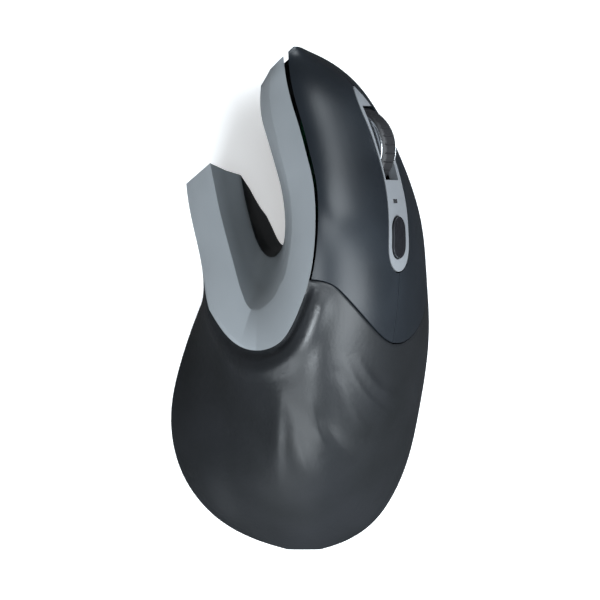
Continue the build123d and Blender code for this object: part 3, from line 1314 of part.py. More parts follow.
with BuildPart() as battery_door:
    with BuildSketch(Plane.YZ.offset(BATTERY_X - DOOR_WIDTH / 2)):
        with Locations((DOOR_PIVOT_Y - DOOR_LENGTH / 2 + DOOR_THICKNESS / 4, DOOR_PIVOT_Z)):
            Rectangle(DOOR_LENGTH - DOOR_THICKNESS / 2, DOOR_THICKNESS)
        with Locations((DOOR_PIVOT_Y, DOOR_PIVOT_Z)):
            Circle(DOOR_THICKNESS / 2)
    extrude(amount=DOOR_WIDTH)
    with BuildSketch(Plane.YZ.offset(BATTERY_X - DOOR_WIDTH / 2 - DOOR_PIN_LENGTH)):
        with Locations((DOOR_PIVOT_Y, DOOR_PIVOT_Z)):
            Circle(DOOR_PIN_DIAMETER / 2)
    extrude(amount=DOOR_WIDTH + 2 * DOOR_PIN_LENGTH)
    with BuildSketch(Plane.XY.offset(FOOT_THICKNESS)):
        with Locations((BATTERY_X, BAY_REAR_Y + DOOR_GRIP_GROOVES * DOOR_GRIP_PITCH)):
            with GridLocations(DOOR_GRIP_PITCH, DOOR_GRIP_PITCH, 1, DOOR_GRIP_GROOVES):
                Rectangle(DOOR_GRIP_LENGTH, DOOR_GRIP_PITCH / 2)
    extrude(amount=DOOR_GRIP_DEPTH, mode=Mode.SUBTRACT)

# Power switch and its knob

with BuildPart() as power_switch:
    with BuildSketch(Plane.XY.offset(FLOOR_TOP)):
        with Locations((POWER_X, POWER_Y)):
            Rectangle(POWER_BODY_WIDTH, POWER_BODY_LENGTH)
    extrude(amount=POWER_BODY_HEIGHT)
    with BuildSketch(Plane.XY.offset(FLOOR_TOP)):
        with Locations((POWER_X, POWER_Y)):
            Rectangle(KNOB_STEM + 2 * KNOB_SLOT_GAP, KNOB_STEM + POWER_TRAVEL + 2 * KNOB_SLOT_GAP)
    extrude(amount=KNOB_STEM_HEIGHT + KNOB_SLOT_GAP, mode=Mode.SUBTRACT)

knob_y = POWER_Y - POWER_TRAVEL / 2
knob_low = FOOT_THICKNESS + KNOB_RECESS
with BuildPart() as power_knob:
    with BuildSketch(Plane.XY.offset(knob_low)):
        with Locations((POWER_X, knob_y)):
            Rectangle(KNOB_WIDTH, KNOB_LENGTH)
    extrude(amount=FLOOR_TOP - KNOB_SLOT_GAP - knob_low)
    with BuildSketch(Plane.XY.offset(knob_low)):
        with Locations((POWER_X, knob_y)):
            Rectangle(KNOB_STEM, KNOB_STEM)
    extrude(amount=FLOOR_TOP + KNOB_STEM_HEIGHT - knob_low)
    with BuildSketch(Plane.XY.offset(knob_low)):
        with Locations((POWER_X, knob_y)):
            with GridLocations(KNOB_RIB, KNOB_LENGTH / KNOB_RIBS, 1, KNOB_RIBS):
                Rectangle(KNOB_WIDTH, KNOB_RIB)
    extrude(amount=KNOB_RIB, mode=Mode.SUBTRACT)

# Receiver

with BuildPart() as receiver_cap:
    with BuildSketch(Plane.XY.offset(FOOT_THICKNESS)):
        with Locations((RECEIVER_X, RECEIVER_Y)):
            RectangleRounded(RECEIVER_THICKNESS, RECEIVER_LENGTH, RECEIVER_ROUND)
    extrude(amount=RECEIVER_CAP_HEIGHT)

with BuildPart() as receiver_plug:
    with BuildSketch(Plane.XY.offset(RECEIVER_MIDDLE_Z)):
        with Locations((RECEIVER_X, RECEIVER_Y)):
            Rectangle(PLUG_THICKNESS, PLUG_LENGTH)
    extrude(amount=PLUG_HEIGHT)
    with BuildSketch(Plane.XY.offset(RECEIVER_MIDDLE_Z + PLUG_WALL)):
        with Locations((RECEIVER_X + PLUG_THICKNESS / 4, RECEIVER_Y)):
            Rectangle(PLUG_THICKNESS / 2 - 2 * PLUG_WALL, PLUG_LENGTH - 2 * PLUG_WALL)
    extrude(amount=PLUG_HEIGHT, mode=Mode.SUBTRACT)

# Glide feet and screws

with BuildPart() as feet:
    with BuildSketch():
        for foot_x, foot_y, foot_width, foot_length in FOOT_PLACES:
            with Locations((foot_x, foot_y)):
                SlotOverall(max(foot_width, foot_length), min(foot_width, foot_length),
                            rotation=QUARTER_TURN * (foot_length > foot_width))
    extrude(amount=FOOT_THICKNESS)

head_low = FOOT_THICKNESS + SCREW_SINK
with BuildPart() as case_screws:
    with BuildSketch(Plane.XY.offset(head_low)):
        with Locations(*POST_PLACES, *FRAME_SCREW_PLACES):
            Circle(SCREW_HEAD_DIAMETER / 2)
    extrude(amount=SCREW_HEAD_HEIGHT)
    with BuildSketch(Plane.XY.offset(head_low)):
        with Locations(*POST_PLACES, *FRAME_SCREW_PLACES):
            Circle(SCREW_DIAMETER / 2)
    extrude(amount=SCREW_LENGTH)
    with BuildSketch(Plane.XY.offset(head_low)):
        with Locations(*POST_PLACES, *FRAME_SCREW_PLACES):
            Rectangle(SCREW_DIAMETER, SCREW_CROSS)
            Rectangle(SCREW_CROSS, SCREW_DIAMETER)
    extrude(amount=SCREW_CROSS, mode=Mode.SUBTRACT)


def board_screw(plane, place):
    """Small screw whose head rests on the plane; its shank runs against the plane's normal."""
    with BuildPart() as screw:
        with BuildSketch(plane):
            with Locations(place):
                Circle(BOARD_SCREW_HEAD_DIAMETER / 2)
        extrude(amount=BOARD_SCREW_HEAD_HEIGHT)
        with BuildSketch(plane):
            with Locations(place):
                Circle(BOARD_SCREW_DIAMETER / 2)
        extrude(amount=-BOARD_SCREW_LENGTH)
    return screw.part


with BuildPart() as board_screws:
    for place in BOARD_BOSS_PLACES:
        add(board_screw(Plane.XY.offset(MAIN_BOARD_TOP), place))
    for place in TRAY_SCREW_PLACES:
        add(board_screw(face_plane(BOARD_TOP), place))
    for place in thumb_post_places:
        add(board_screw(Plane.YZ.offset(THUMB_BOARD_X + THUMB_BOARD_THICKNESS), place))

pieces = {
    "bottom_case": bottom_case, "palm_shell": palm_shell, "thumb_panel": thumb_panel,
    "left_key": left_key, "right_key": right_key, "accent_strip": accent_strip,
    "dpi_button": dpi_button, "light_pipe": light_pipe, "indicator_led": indicator_led,
    "wheel_hub": wheel_hub, "wheel_rings": wheel_rings, "wheel_tyre": wheel_tyre,
    "wheel_axle": wheel_axle, "wheel_cradle": wheel_cradle, "wheel_encoder": wheel_encoder,
    "inner_frame": inner_frame, "button_board": button_board,
    "left_switch": left_switch, "left_plunger": left_plunger,
    "right_switch": right_switch, "right_plunger": right_plunger,
    "middle_switch": middle_switch, "middle_plunger": middle_plunger,
    "dpi_switch": dpi_switch, "dpi_plunger": dpi_plunger,
    "back_button": back_button, "forward_button": forward_button,
    "back_switch": back_switch, "forward_switch": forward_switch,
    "back_plunger": back_plunger, "forward_plunger": forward_plunger,
    "thumb_board": thumb_board, "thumb_cable": thumb_cable,
    "main_board": main_board, "sensor_chip": sensor_chip, "sensor_lens": sensor_lens,
    "controller_chip": controller_chip, "board_flex": board_flex,
    "battery": battery, "battery_contacts": battery_contacts, "battery_spring": battery_spring,
    "battery_door": battery_door, "power_switch": power_switch, "power_knob": power_knob,
    "receiver_cap": receiver_cap, "receiver_plug": receiver_plug,
    "feet": feet, "case_screws": case_screws, "board_screws": board_screws,
}
for name, piece in pieces.items():
    piece.part.label = name
    export_step(piece.part, f"parts/{name}.step")
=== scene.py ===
# %% [markdown]
# A vertical mouse for the right hand, seen from straight above. The imported solids are the frame:
# they give every size and place. This file dresses them. The first cell loads them.

# %% Load the frame
import json
import math
import bpy
import numpy as np
from mathutils import Matrix, Vector
from mathutils.bvhtree import BVHTree


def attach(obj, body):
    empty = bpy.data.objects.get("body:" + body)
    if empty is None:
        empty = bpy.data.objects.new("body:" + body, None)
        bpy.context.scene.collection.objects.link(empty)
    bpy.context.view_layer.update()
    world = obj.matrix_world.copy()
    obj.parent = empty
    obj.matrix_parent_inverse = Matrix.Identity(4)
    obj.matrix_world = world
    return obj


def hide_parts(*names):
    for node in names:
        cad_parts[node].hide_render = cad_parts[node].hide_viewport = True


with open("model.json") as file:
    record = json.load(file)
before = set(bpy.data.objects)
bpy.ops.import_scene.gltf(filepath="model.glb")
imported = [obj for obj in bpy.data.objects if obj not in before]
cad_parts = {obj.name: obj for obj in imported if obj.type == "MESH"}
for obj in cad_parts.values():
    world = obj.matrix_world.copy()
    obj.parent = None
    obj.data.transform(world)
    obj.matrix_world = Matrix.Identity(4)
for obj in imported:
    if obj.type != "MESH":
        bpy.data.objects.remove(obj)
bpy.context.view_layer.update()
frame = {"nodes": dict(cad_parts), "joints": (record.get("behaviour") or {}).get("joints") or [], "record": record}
nodes = frame["nodes"]
MM = 0.001

# %% [markdown]
# Moulded plastic is never one colour. Under a lens it has a fine spark-eroded grain, and over
# the whole part it has slow, barely visible changes of tone where hands have polished it. Both
# effects return in every plastic of this mouse, so they are one node group with named inputs,
# which each material fills with its own values.

# %% Node group: moulded grain
def new_group(name, inputs, outputs):
    """An empty shader group with number inputs and outputs."""
    group = bpy.data.node_groups.new(name, "ShaderNodeTree")
    for label, default in inputs:
        socket = group.interface.new_socket(label, in_out="INPUT", socket_type="NodeSocketFloat")
        socket.default_value = default
    for label in outputs:
        group.interface.new_socket(label, in_out="OUTPUT", socket_type="NodeSocketFloat")
    group.nodes.new("NodeGroupInput")
    group.nodes.new("NodeGroupOutput")
    return group


def wired(tree, kind, links=(), **settings):
    """A node with its settings made and its inputs linked by name or place."""
    node = tree.nodes.new(kind)
    for key, value in settings.items():
        setattr(node, key, value)
    for place, source in links:
        tree.links.new(source, node.inputs[place])
    return node


GRAIN_SIZE = 2600.0
CLOUD_SIZE = 55.0
CLOUD_LOW, CLOUD_HIGH = 0.3, 0.7

grain_group = new_group(
    "Moulded grain",
    [("Grain size", GRAIN_SIZE), ("Cloud size", CLOUD_SIZE)],
    ["Height", "Cloud", "Polish"],
)
grain_in = grain_group.nodes["Group Input"]
grain_out = grain_group.nodes["Group Output"]
object_place = wired(grain_group, "ShaderNodeTexCoord").outputs["Object"]


def pattern(kind, size):
    """A texture on the object's own place, at one of the group's sizes."""
    return wired(grain_group, kind, [("Vector", object_place), ("Scale", grain_in.outputs[size])])


pits = pattern("ShaderNodeTexVoronoi", "Grain size").outputs["Distance"]
fine = pattern("ShaderNodeTexNoise", "Grain size").outputs["Fac"]
cloud = pattern("ShaderNodeTexNoise", "Cloud size").outputs["Fac"]
height = wired(grain_group, "ShaderNodeMath", [(0, pits), (1, fine)], operation="ADD")
cloud_range = wired(grain_group, "ShaderNodeMapRange", [("Value", cloud)])
cloud_range.inputs["From Min"].default_value = CLOUD_LOW
cloud_range.inputs["From Max"].default_value = CLOUD_HIGH
spread_cloud = cloud_range.outputs["Result"]
polish = wired(grain_group, "ShaderNodeMath", [(0, spread_cloud), (1, fine)], operation="MULTIPLY")
grain_group.links.new(height.outputs[0], grain_out.inputs["Height"])
grain_group.links.new(spread_cloud, grain_out.inputs["Cloud"])
grain_group.links.new(polish.outputs[0], grain_out.inputs["Polish"])
print("grain group sockets:", [s.name for s in grain_group.interface.items_tree])

# %% [markdown]
# A finish is a Principled shader fed by the group: the cloud mixes two close colours, the polish
# moves the roughness, and the height goes through a Bump node. Values that are the same all
# over the surface, such as the coat, are typed on the shader itself.

# %% A finish from the grain
GRAIN_DEPTH = 0.02 * MM
COAT_ROUGHNESS = 0.1


def finish(name, dark, light, rough, grain=GRAIN_SIZE, cloud_size=CLOUD_SIZE, bump=0.15, metallic=0.0,
           coat=0.0, specular=0.5):
    """A material between two close colours and two roughnesses, with the moulded grain."""
    material = bpy.data.materials.new(name)
    material.use_nodes = True
    tree = material.node_tree
    shader = tree.nodes["Principled BSDF"]
    effect = tree.nodes.new("ShaderNodeGroup")
    effect.node_tree = grain_group
    effect.inputs["Grain size"].default_value = grain
    effect.inputs["Cloud size"].default_value = cloud_size
    tones = wired(tree, "ShaderNodeMix", [("Factor", effect.outputs["Cloud"])], data_type="RGBA")
    first, second = [socket for socket in tones.inputs if socket.type == "RGBA"]
    first.default_value = (*dark, 1)
    second.default_value = (*light, 1)
    colour = next(socket for socket in tones.outputs if socket.type == "RGBA")
    tree.links.new(colour, shader.inputs["Base Color"])
    spread = wired(tree, "ShaderNodeMapRange", [("Value", effect.outputs["Polish"])])
    spread.inputs["To Min"].default_value = rough[0]
    spread.inputs["To Max"].default_value = rough[1]
    tree.links.new(spread.outputs["Result"], shader.inputs["Roughness"])
    relief = wired(tree, "ShaderNodeBump", [("Height", effect.outputs["Height"])])
    relief.inputs["Strength"].default_value = bump
    relief.inputs["Distance"].default_value = GRAIN_DEPTH
    tree.links.new(relief.outputs["Normal"], shader.inputs["Normal"])
    shader.inputs["Metallic"].default_value = metallic
    shader.inputs["Coat Weight"].default_value = coat
    shader.inputs["Coat Roughness"].default_value = COAT_ROUGHNESS
    shader.inputs["Specular IOR Level"].default_value = specular
    return material


print("finish ready, built on the group", grain_group.name)

# %% [markdown]
# Every finish of the record gets its colours, in the linear numbers that Blender works in. The
# outer blacks are satin and nearly without colour; the glossy black is clear-coated; the lacquered
# strip is partly metallic. The inner pieces have the plain colours of boards, nylon and steel.

# %% The finishes
finishes = {
    "palm_black": finish("Satin palm plastic", (0.008, 0.009, 0.010), (0.011, 0.012, 0.014), (0.36, 0.43),
                         specular=0.40),
    "key_black": finish("Satin key plastic", (0.007, 0.009, 0.012), (0.010, 0.013, 0.017), (0.36, 0.43),
                        specular=0.40),
    "panel_grey": finish("Soft grey thumb panel", (0.185, 0.200, 0.212), (0.205, 0.221, 0.235), (0.42, 0.50),
                         bump=0.25, specular=0.45),
    "strip_silver": finish("Satin silver lacquer", (0.20, 0.21, 0.225), (0.225, 0.235, 0.25), (0.36, 0.46),
                           metallic=0.3, grain=5200.0),
    "gloss_black": finish("Polished black button", (0.006, 0.006, 0.008), (0.010, 0.010, 0.012), (0.12, 0.2),
                          coat=0.6, bump=0.04),
    "case_black": finish("Textured base plastic", (0.010, 0.010, 0.012), (0.015, 0.015, 0.018), (0.42, 0.55),
                         grain=1500.0, bump=0.4),
    "tyre_rubber": finish("Tyre rubber", (0.008, 0.008, 0.009), (0.014, 0.014, 0.016), (0.45, 0.6),
                          grain=1800.0, bump=0.4),
    "ring_silver": finish("Turned wheel ring", (0.62, 0.64, 0.66), (0.78, 0.80, 0.82), (0.18, 0.3),
                          metallic=1.0, grain=6500.0, bump=0.05),
    "hub_grey": finish("Wheel hub plastic", (0.10, 0.105, 0.11), (0.15, 0.155, 0.16), (0.4, 0.55)),
    "steel": finish("Plated steel", (0.50, 0.50, 0.49), (0.62, 0.61, 0.60), (0.25, 0.4), metallic=1.0,
                    grain=4000.0, bump=0.08),
    "nylon_white": finish("Natural nylon", (0.62, 0.61, 0.57), (0.72, 0.71, 0.67), (0.4, 0.55)),
    "board_green": finish("Solder mask green", (0.012, 0.11, 0.045), (0.02, 0.16, 0.07), (0.3, 0.42),
                          grain=900.0, bump=0.3),
    "switch_black": finish("Switch housing", (0.03, 0.03, 0.033), (0.05, 0.05, 0.054), (0.42, 0.58)),
    "plunger_red": finish("Red plunger", (0.45, 0.03, 0.02), (0.6, 0.06, 0.04), (0.3, 0.4)),
    "chip_black": finish("Moulded chip", (0.015, 0.015, 0.016), (0.03, 0.03, 0.031), (0.5, 0.7)),
    "lens_clear": finish("Smoked light guide", (0.020, 0.021, 0.023), (0.028, 0.029, 0.031), (0.1, 0.2),
                         coat=0.4, bump=0.02),
    "flex_amber": finish("Flat cable", (0.42, 0.20, 0.03), (0.55, 0.28, 0.06), (0.2, 0.3)),
    "cell_wrap": finish("Cell wrap", (0.12, 0.14, 0.16), (0.18, 0.2, 0.22), (0.25, 0.35)),
    "foot_white": finish("Glide pad", (0.60, 0.60, 0.58), (0.68, 0.68, 0.66), (0.3, 0.45)),
}
print("finishes:", len(finishes))

# %% [markdown]
# The record says which finish each solid has and which body it moves with. Most solids keep their
# shape and only take their finish. In the photograph the base looks like the palm cover above it,
# so here the base wears the same satin black.

# %% Finishes on the solids
slot_of = {entry["node"]: entry["material_slot"] for entry in frame["record"]["subparts"]}
slot_of["bottom_case"] = "palm_black"
for name, solid in nodes.items():
    solid.data.materials.clear()
    solid.data.materials.append(finishes[slot_of[name]])
body_of = {name: body for body, names in frame["record"]["behaviour"]["bodies"].items() for name in names}
print("solids with a finish:", len(slot_of), "on bodies:", len(set(body_of.values())))

# %% [markdown]
# The solids carry the exact shape, but the real cover is soft: where it is drawn over the edge of
# the panel it dips, rolls up again and falls into shallow folds. Such relief of half a millimetre
# could be sculpted by hand. Here each shell is copied, its doubles are merged, its outer face is
# found by spreading from one face, and its points are then moved along their own normals.

# %% Copy a shell and find its outer face
MERGE_DISTANCE = 0.001 * MM
OUTSIDE_BEND = math.radians(32)


def shell_copy(node, name):
    """A copy of a solid's mesh with its doubles merged, under its own name."""
    bpy.ops.object.select_all(action="DESELECT")
    shell = bpy.data.objects.new(name, nodes[node].data.copy())
    bpy.context.scene.collection.objects.link(shell)
    bpy.context.view_layer.objects.active = shell
    shell.select_set(True)
    bpy.ops.mesh.customdata_custom_splitnormals_clear()
    bpy.ops.object.mode_set(mode="EDIT")
    bpy.ops.mesh.select_all(action="SELECT")
    bpy.ops.mesh.remove_doubles(threshold=MERGE_DISTANCE)
    bpy.ops.object.mode_set(mode="OBJECT")
    return shell


def select_outside(shell, seed):
    """Select the faces joined to the one nearest the seed, as far as the next sharp edge."""
    bpy.ops.object.mode_set(mode="EDIT")
    bpy.ops.mesh.select_mode(type="FACE")
    bpy.ops.mesh.select_all(action="DESELECT")
    bpy.ops.object.mode_set(mode="OBJECT")
    nearest = min(shell.data.polygons, key=lambda face: (face.center - seed).length)
    nearest.select = True
    shell.data.polygons.active = nearest.index
    bpy.ops.object.mode_set(mode="EDIT")
    bpy.ops.mesh.faces_select_linked_flat(sharpness=OUTSIDE_BEND)
    bpy.ops.object.mode_set(mode="OBJECT")
    return [face.index for face in shell.data.polygons if face.select]


def refine(shell, wanted):
    """Divide once those of the selected faces that pass the test."""
    for face in shell.data.polygons:
        if face.select:
            face.select = wanted(face)
    bpy.ops.object.mode_set(mode="EDIT")
    bpy.ops.mesh.subdivide(number_cuts=1)
    bpy.ops.object.mode_set(mode="OBJECT")


def outer_points(shell, outside):
    """Indices, places in mm and outward normals of the points on the outer face."""
    pull = {}
    for index in outside:
        face = shell.data.polygons[index]
        for corner in face.vertices:
            pull[corner] = pull.get(corner, Vector()) + face.normal * face.area
    index = np.array(sorted(pull))
    normals = np.array([pull[i].normalized() for i in index])
    places = np.array([shell.data.vertices[i].co / MM for i in index])
    return index, places, normals


def push(shell, index, places, normals, rise):
    """Move the points along their normals by the rise in mm."""
    moved = (places + normals * rise[:, None]) * MM
    for number, place in zip(index, moved):
        shell.data.vertices[number].co = place


def dressed(piece, node, *slots):
    """Give a piece its finishes, and let it stand for a solid and move with it."""
    piece.data.materials.clear()
    for slot in slots:
        piece.data.materials.append(finishes[slot])
    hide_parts(node)
    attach(piece, body_of[node])


print("shell helpers ready")

# %% [markdown]
# A fold is a ridge along a line on the plan, steep on one side and slow on the other. The distance
# of every point from that line gives its height, which fades out at both ends of the line.

# %% Distance from a drawn line
LINE_POINTS = 36
FAR_AWAY = 1e9


def drawn(points):
    """A smooth line through a few points of the plan in mm."""
    share = np.linspace(0, 1, len(points))
    steps = np.linspace(0, 1, LINE_POINTS)
    degree = min(3, len(points) - 1)
    axes = [np.polyval(np.polyfit(share, axis, degree), steps) for axis in np.array(points).T]
    return np.stack(axes, axis=1)


def across(places, line):
    """Distance to a line drawn rearwards on the plan, positive on the side of the fingers, and the
    share of the line's length at its nearest place."""
    nearest = np.full(len(places), FAR_AWAY)
    side = np.zeros(len(places))
    share = np.zeros(len(places))
    steps = np.diff(line, axis=0)
    for number, (start, step) in enumerate(zip(line, steps)):
        offset = places[:, :2] - start
        part = np.clip(offset @ step / (step @ step), 0, 1)
        gap = offset - part[:, None] * step
        distance = np.hypot(gap[:, 0], gap[:, 1])
        closer = distance < nearest
        nearest[closer] = distance[closer]
        side[closer] = np.sign(offset[closer, 1] * step[0] - offset[closer, 0] * step[1])
        share[closer] = (number + part[closer]) / len(steps)
    return nearest * side, share


def crease(places, line, height, left, right):
    """A ridge along a line, with its own width in mm on each side."""
    distance, share = across(places, drawn(line))
    width = np.where(distance > 0, right, left)
    return height * np.sin(np.pi * share) * np.exp(-(distance / width) ** 2)


def ease(values, low, high):
    """From 0 at the low value to 1 at the high one, smoothly."""
    share = np.clip((values - low) / (high - low), 0, 1)
    return share * share * (3 - 2 * share)


def gaps_to(places, solid):
    """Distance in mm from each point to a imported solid."""
    tree = BVHTree.FromPolygons([v.co for v in nodes[solid].data.vertices],
                                [list(f.vertices) for f in nodes[solid].data.polygons])
    return np.array([tree.find_nearest(Vector(place * MM))[3] / MM for place in places])


print("drawing helpers ready, points to a line:", LINE_POINTS)

# %% [markdown]
# The palm cover's mesh comes as large triangles, too coarse for a fold. Its upper side is divided
# once, and once more in a narrow band beside the thumb panel, where the relief is finest.

# %% Palm cover: a finer mesh
PALM_SEED = Vector((5.0, -30.0, 50.0)) * MM
PALM_REAR = -52.0 * MM
UPPER_LOW, UPPER_HIGH = 0.05, 0.45
FINE_BAND = 3.5

palm = shell_copy("palm_shell", "palm_skin")
outside = select_outside(palm, PALM_SEED)
print("outer faces of the palm cover:", len(outside), "of", len(palm.data.polygons))
refine(palm, lambda face: face.normal.z > UPPER_LOW and face.center.y > PALM_REAR)
index, places, normals = outer_points(palm, select_outside(palm, PALM_SEED))
near = set(index[gaps_to(places, "thumb_panel") < FINE_BAND])
refine(palm, lambda face: any(corner in near for corner in face.vertices))
index, places, normals = outer_points(palm, select_outside(palm, PALM_SEED))
print("outer points after dividing:", len(index))

# %% [markdown]
# A valley runs beside the panel, and past it the cover rolls up into a soft ridge that catches the
# light. Both fade out before the keys, where the cover's edge only dips a little, so that the seam
# reads as a rounded edge and a finger doesn't catch on it.

# %% Palm cover: valley and roll along its seams
VALLEY_DEPTH, VALLEY_START, VALLEY_END = 0.9, 0.5, 2.2
ROLL_HEIGHT, ROLL_PLACE, ROLL_WIDTH = 0.75, 4.4, 2.2
SEAM_DEPTH, SEAM_START, SEAM_END = 0.25, 0.1, 0.7
KEYS_NEAR, KEYS_CLEAR = 0.3, 5.0

panel_gap = gaps_to(places, "thumb_panel")
keys_gap = np.minimum(gaps_to(places, "left_key"), gaps_to(places, "right_key"))
upper = ease(normals[:, 2], UPPER_LOW, UPPER_HIGH)
clear = ease(keys_gap, KEYS_NEAR, KEYS_CLEAR)
valley = -VALLEY_DEPTH * (1 - ease(panel_gap, VALLEY_START, VALLEY_END))
roll = ROLL_HEIGHT * np.exp(-((panel_gap - ROLL_PLACE) / ROLL_WIDTH) ** 2) * upper
key_seam = -SEAM_DEPTH * (1 - ease(keys_gap, SEAM_START, SEAM_END))
print("lowest and highest relief in mm:", round(float(valley.min()), 2), round(float(roll.max()), 2))

# %% [markdown]
# Folds run from the roll to the rear and to the right, like cloth pulled over a knuckle. Each row
# gives a line in mm on the plan, its height, and its width towards the thumb and the fingers. Only
# the upper side is folded; the flanks stay smooth for the grip.

# %% Palm cover: folds
PALM_FOLDS = [
    ([(-20.0, -10.5), (-14.8, -14.1), (-10.7, -17.0), (-6.6, -20.4), (-3.6, -25.0), (-2.6, -31.0)],
     0.8, 5.0, 3.4),
    ([(-4.6, -21.0), (-5.0, -29.3), (-5.25, -35.0), (-5.6, -47.0)], 0.42, 2.6, 1.3),
    ([(-1.9, -23.0), (-0.7, -33.0), (0.45, -38.4), (2.6, -45.0)], 0.42, 2.6, 1.4),
    ([(1.8, -22.0), (3.4, -28.4), (4.55, -32.1), (6.6, -37.0)], 0.36, 2.6, 1.4),
    ([(4.2, -28.0), (8.9, -33.9), (13.5, -38.5)], 0.3, 2.8, 1.8),
    ([(9.6, -12.5), (12.6, -18.6), (15.0, -22.0), (18.2, -25.6), (23.5, -29.3)], 0.5, 2.6, 1.3),
    ([(13.0, -12.5), (16.0, -18.0), (19.5, -21.6), (25.0, -24.4)], 0.42, 2.4, 1.3),
    ([(8.2, -17.0), (10.6, -22.5), (13.6, -28.6), (16.6, -32.0)], 0.32, 2.4, 1.5),
]
PALM_SMOOTH = math.radians(38)

folds = sum(crease(places, line, high, left, right) for line, high, left, right in PALM_FOLDS)
push(palm, index, places, normals, (valley + roll) * clear + key_seam + folds * upper)
dressed(palm, "palm_shell", "palm_black")
bpy.ops.object.shade_smooth_by_angle(angle=PALM_SMOOTH)
print("palm cover: faces", len(palm.data.polygons), "highest fold in mm", round(float(folds.max()), 2))

# %% [markdown]
# The thumb panel is one grey moulding with a crisp edge on the outer side of the channel and a soft
# one where the channel meets the flank. Shading across every edge under fifty degrees gives both.
# Deep in the channel, where the steep wall lies in shadow, those faces get the second, black finish as painted
# shade.

# %% Thumb panel, with painted shade deep in its channel
RIM_POINT = Vector((0, 10.0, 59.3)) * MM
RIM_UP = Vector((-1.38, 0.06, 1)).normalized()
PAINTED_SHADE_DEPTH = 10.3 * MM
PANEL_SMOOTH = math.radians(50)

panel = shell_copy("thumb_panel", "panel_skin")
dressed(panel, "thumb_panel", "panel_grey", "palm_black")
# Faces this deep below the rim take the black finish: painted shade for the shadowed wall of the channel.
for face in panel.data.polygons:
    depth = (RIM_POINT - face.center).dot(RIM_UP)
    face.material_index = int(depth > PAINTED_SHADE_DEPTH)
bpy.ops.object.shade_smooth_by_angle(angle=PANEL_SMOOTH)
print("thumb panel: dark faces", sum(face.material_index for face in panel.data.polygons))

# %% [markdown]
# A bright ring closes each side of the tyre; only a crescent of it shows beside the strip. It is a
# turned metal part, so it starts as a torus on the wheel's own axis. In edit mode it is pressed
# flat, and its outer face gets a narrow inset step like the lip that a lathe leaves.

# %% Bright rings on the sides of the tyre
spin_joint = next(joint for joint in frame["joints"] if joint["name"] == "wheel_spin")
WHEEL_CENTRE = Vector(spin_joint["pos_m"])
WHEEL_AXIS = Vector(spin_joint["axis"]).normalized()
TYRE_HALF_WIDTH = 3.0 * MM
RING_RADIUS = 8.7 * MM
RING_HALF_WIDTH = 0.75 * MM
RING_PROUD = 0.14 * MM
LIP_WIDTH = 0.12 * MM
LIP_DEPTH = 0.04 * MM
FACING_UP = 0.9
RING_SMOOTH = math.radians(40)


def side_ring(name, side):
    """A flat ring on one side of the tyre: 1 is the thumb's side, -1 the other."""
    bpy.ops.object.select_all(action="DESELECT")
    bpy.ops.mesh.primitive_torus_add(major_radius=RING_RADIUS, minor_radius=RING_HALF_WIDTH,
                                     major_segments=96, minor_segments=12)
    ring = bpy.context.object
    ring.name = name
    bpy.ops.object.mode_set(mode="EDIT")
    bpy.ops.mesh.select_all(action="SELECT")
    bpy.ops.transform.resize(value=(1, 1, RING_PROUD / RING_HALF_WIDTH))
    bpy.ops.mesh.select_mode(type="FACE")
    bpy.ops.mesh.select_all(action="DESELECT")
    bpy.ops.object.mode_set(mode="OBJECT")
    for face in ring.data.polygons:
        face.select = face.normal.z > FACING_UP
    bpy.ops.object.mode_set(mode="EDIT")
    bpy.ops.mesh.inset(thickness=LIP_WIDTH, depth=-LIP_DEPTH)
    bpy.ops.object.mode_set(mode="OBJECT")
    facing = WHEEL_AXIS.to_track_quat("Z", "Y")
    if side < 0:
        facing = facing @ Vector((0, 0, 1)).rotation_difference(Vector((0, 0, -1)))
    ring.data.transform(facing.to_matrix().to_4x4())
    ring.data.transform(Matrix.Translation(WHEEL_CENTRE + WHEEL_AXIS * side * TYRE_HALF_WIDTH))
    ring.data.materials.append(finishes["ring_silver"])
    bpy.ops.object.shade_smooth_by_angle(angle=RING_SMOOTH)
    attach(ring, "wheel")
    return ring


for name, side in (("wheel_ring_left", 1), ("wheel_ring_right", -1)):
    print(name, "faces", len(side_ring(name, side).data.polygons))

# %% [markdown]
# The photograph looks straight down from far away, so a very long lens stands three metres up.
# Its field is about 143 mm wide at the height of the finger face.

# %% Camera
VIEW_WIDTH = 142.9 * MM
CAMERA_HEIGHT = 3.0
FACE_HEIGHT = 30 * MM

camera_data = bpy.data.cameras.new("Top camera")
camera = bpy.data.objects.new("Top camera", camera_data)
bpy.context.scene.collection.objects.link(camera)
camera.location = (0, 0, CAMERA_HEIGHT)
camera_data.lens = camera_data.sensor_width * (CAMERA_HEIGHT - FACE_HEIGHT) / VIEW_WIDTH
bpy.context.scene.camera = camera
print("camera lens in mm:", round(camera_data.lens))

# %% [markdown]
# The light is soft and comes mostly from above, the rear and the right, so the thumb's flank stays
# dark. Each box has a task: the overhead one draws the sheen along the keys, the high rear one the
# crest of the palm cover, the two on the right the finger face, and the low one the heel.

# %% Softboxes and surroundings
LAMP_TINT = (0.88, 0.95, 1.0)
LAMP_AIM = Vector((0, 0, 0.03))


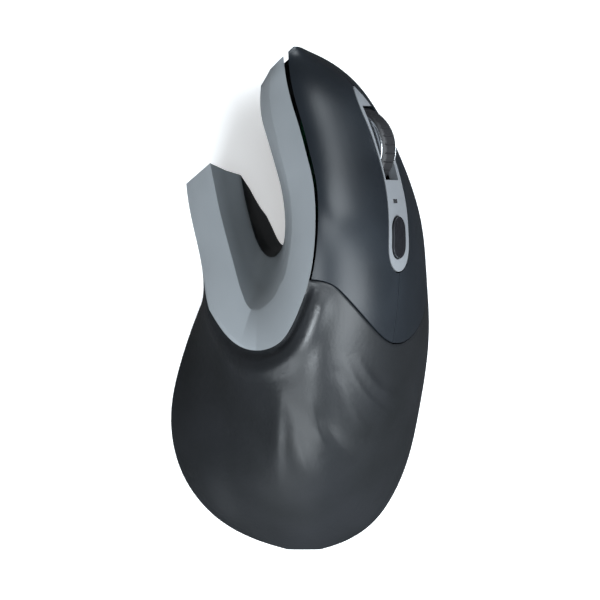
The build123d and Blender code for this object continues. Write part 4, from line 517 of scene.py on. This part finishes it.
def softbox(name, place, size, power):
    """A rectangular lamp in metres and watts, turned towards the mouse."""
    data = bpy.data.lights.new(name, "AREA")
    data.shape = "RECTANGLE"
    data.size, data.size_y = size
    data.energy = power
    data.color = LAMP_TINT
    light = bpy.data.objects.new(name, data)
    bpy.context.scene.collection.objects.link(light)
    light.location = place
    light.rotation_euler = (LAMP_AIM - Vector(place)).to_track_quat("-Z", "Y").to_euler()
    light.visible_camera = False


softbox("Overhead softbox", (0.24, -0.05, 0.75), (0.3, 0.8), 4.4)
softbox("High rear softbox", (-0.18, -0.56, 0.60), (0.45, 0.22), 11.0)
softbox("Front right softbox", (0.50, 0.34, 0.46), (0.5, 0.45), 5.0)
softbox("Right rear softbox", (0.62, -0.42, 0.30), (0.5, 0.5), 7.0)
softbox("Low rear softbox", (-0.25, -0.72, 0.10), (0.9, 0.16), 4.0)
world = bpy.data.worlds.new("Studio")
world.use_nodes = True
background = world.node_tree.nodes["Background"]
background.inputs["Color"].default_value = (0.9, 0.94, 1.0, 1)
background.inputs["Strength"].default_value = 0.06
bpy.context.scene.world = world
bpy.context.scene.view_settings.view_transform = "Standard"
print("softboxes:", len(bpy.data.lights))

# %% [markdown]
# The mouse stands on a pale table that glows faintly, so its shadow stays light as in the
# photograph. The glossy blacks don't mirror the table; in a studio, black card does that.

# %% Floor
FLOOR_SIZE = 6
FLOOR_DROP = 0.2 * MM

bpy.ops.object.select_all(action="DESELECT")
bpy.ops.mesh.primitive_plane_add(size=FLOOR_SIZE, location=(0, 0, -FLOOR_DROP))
floor = bpy.context.object
floor.name = "Floor"
floor_paint = finish("Pale floor", (0.80, 0.80, 0.80), (0.82, 0.82, 0.82), (0.7, 0.8),
                     cloud_size=2.0, bump=0.0)
floor_shader = floor_paint.node_tree.nodes["Principled BSDF"]
floor_shader.inputs["Emission Color"].default_value = (1, 1, 1, 1)
floor_shader.inputs["Emission Strength"].default_value = 0.45
floor.data.materials.append(floor_paint)
floor.visible_glossy = False
print("floor staged, drop in mm:", FLOOR_DROP / MM)
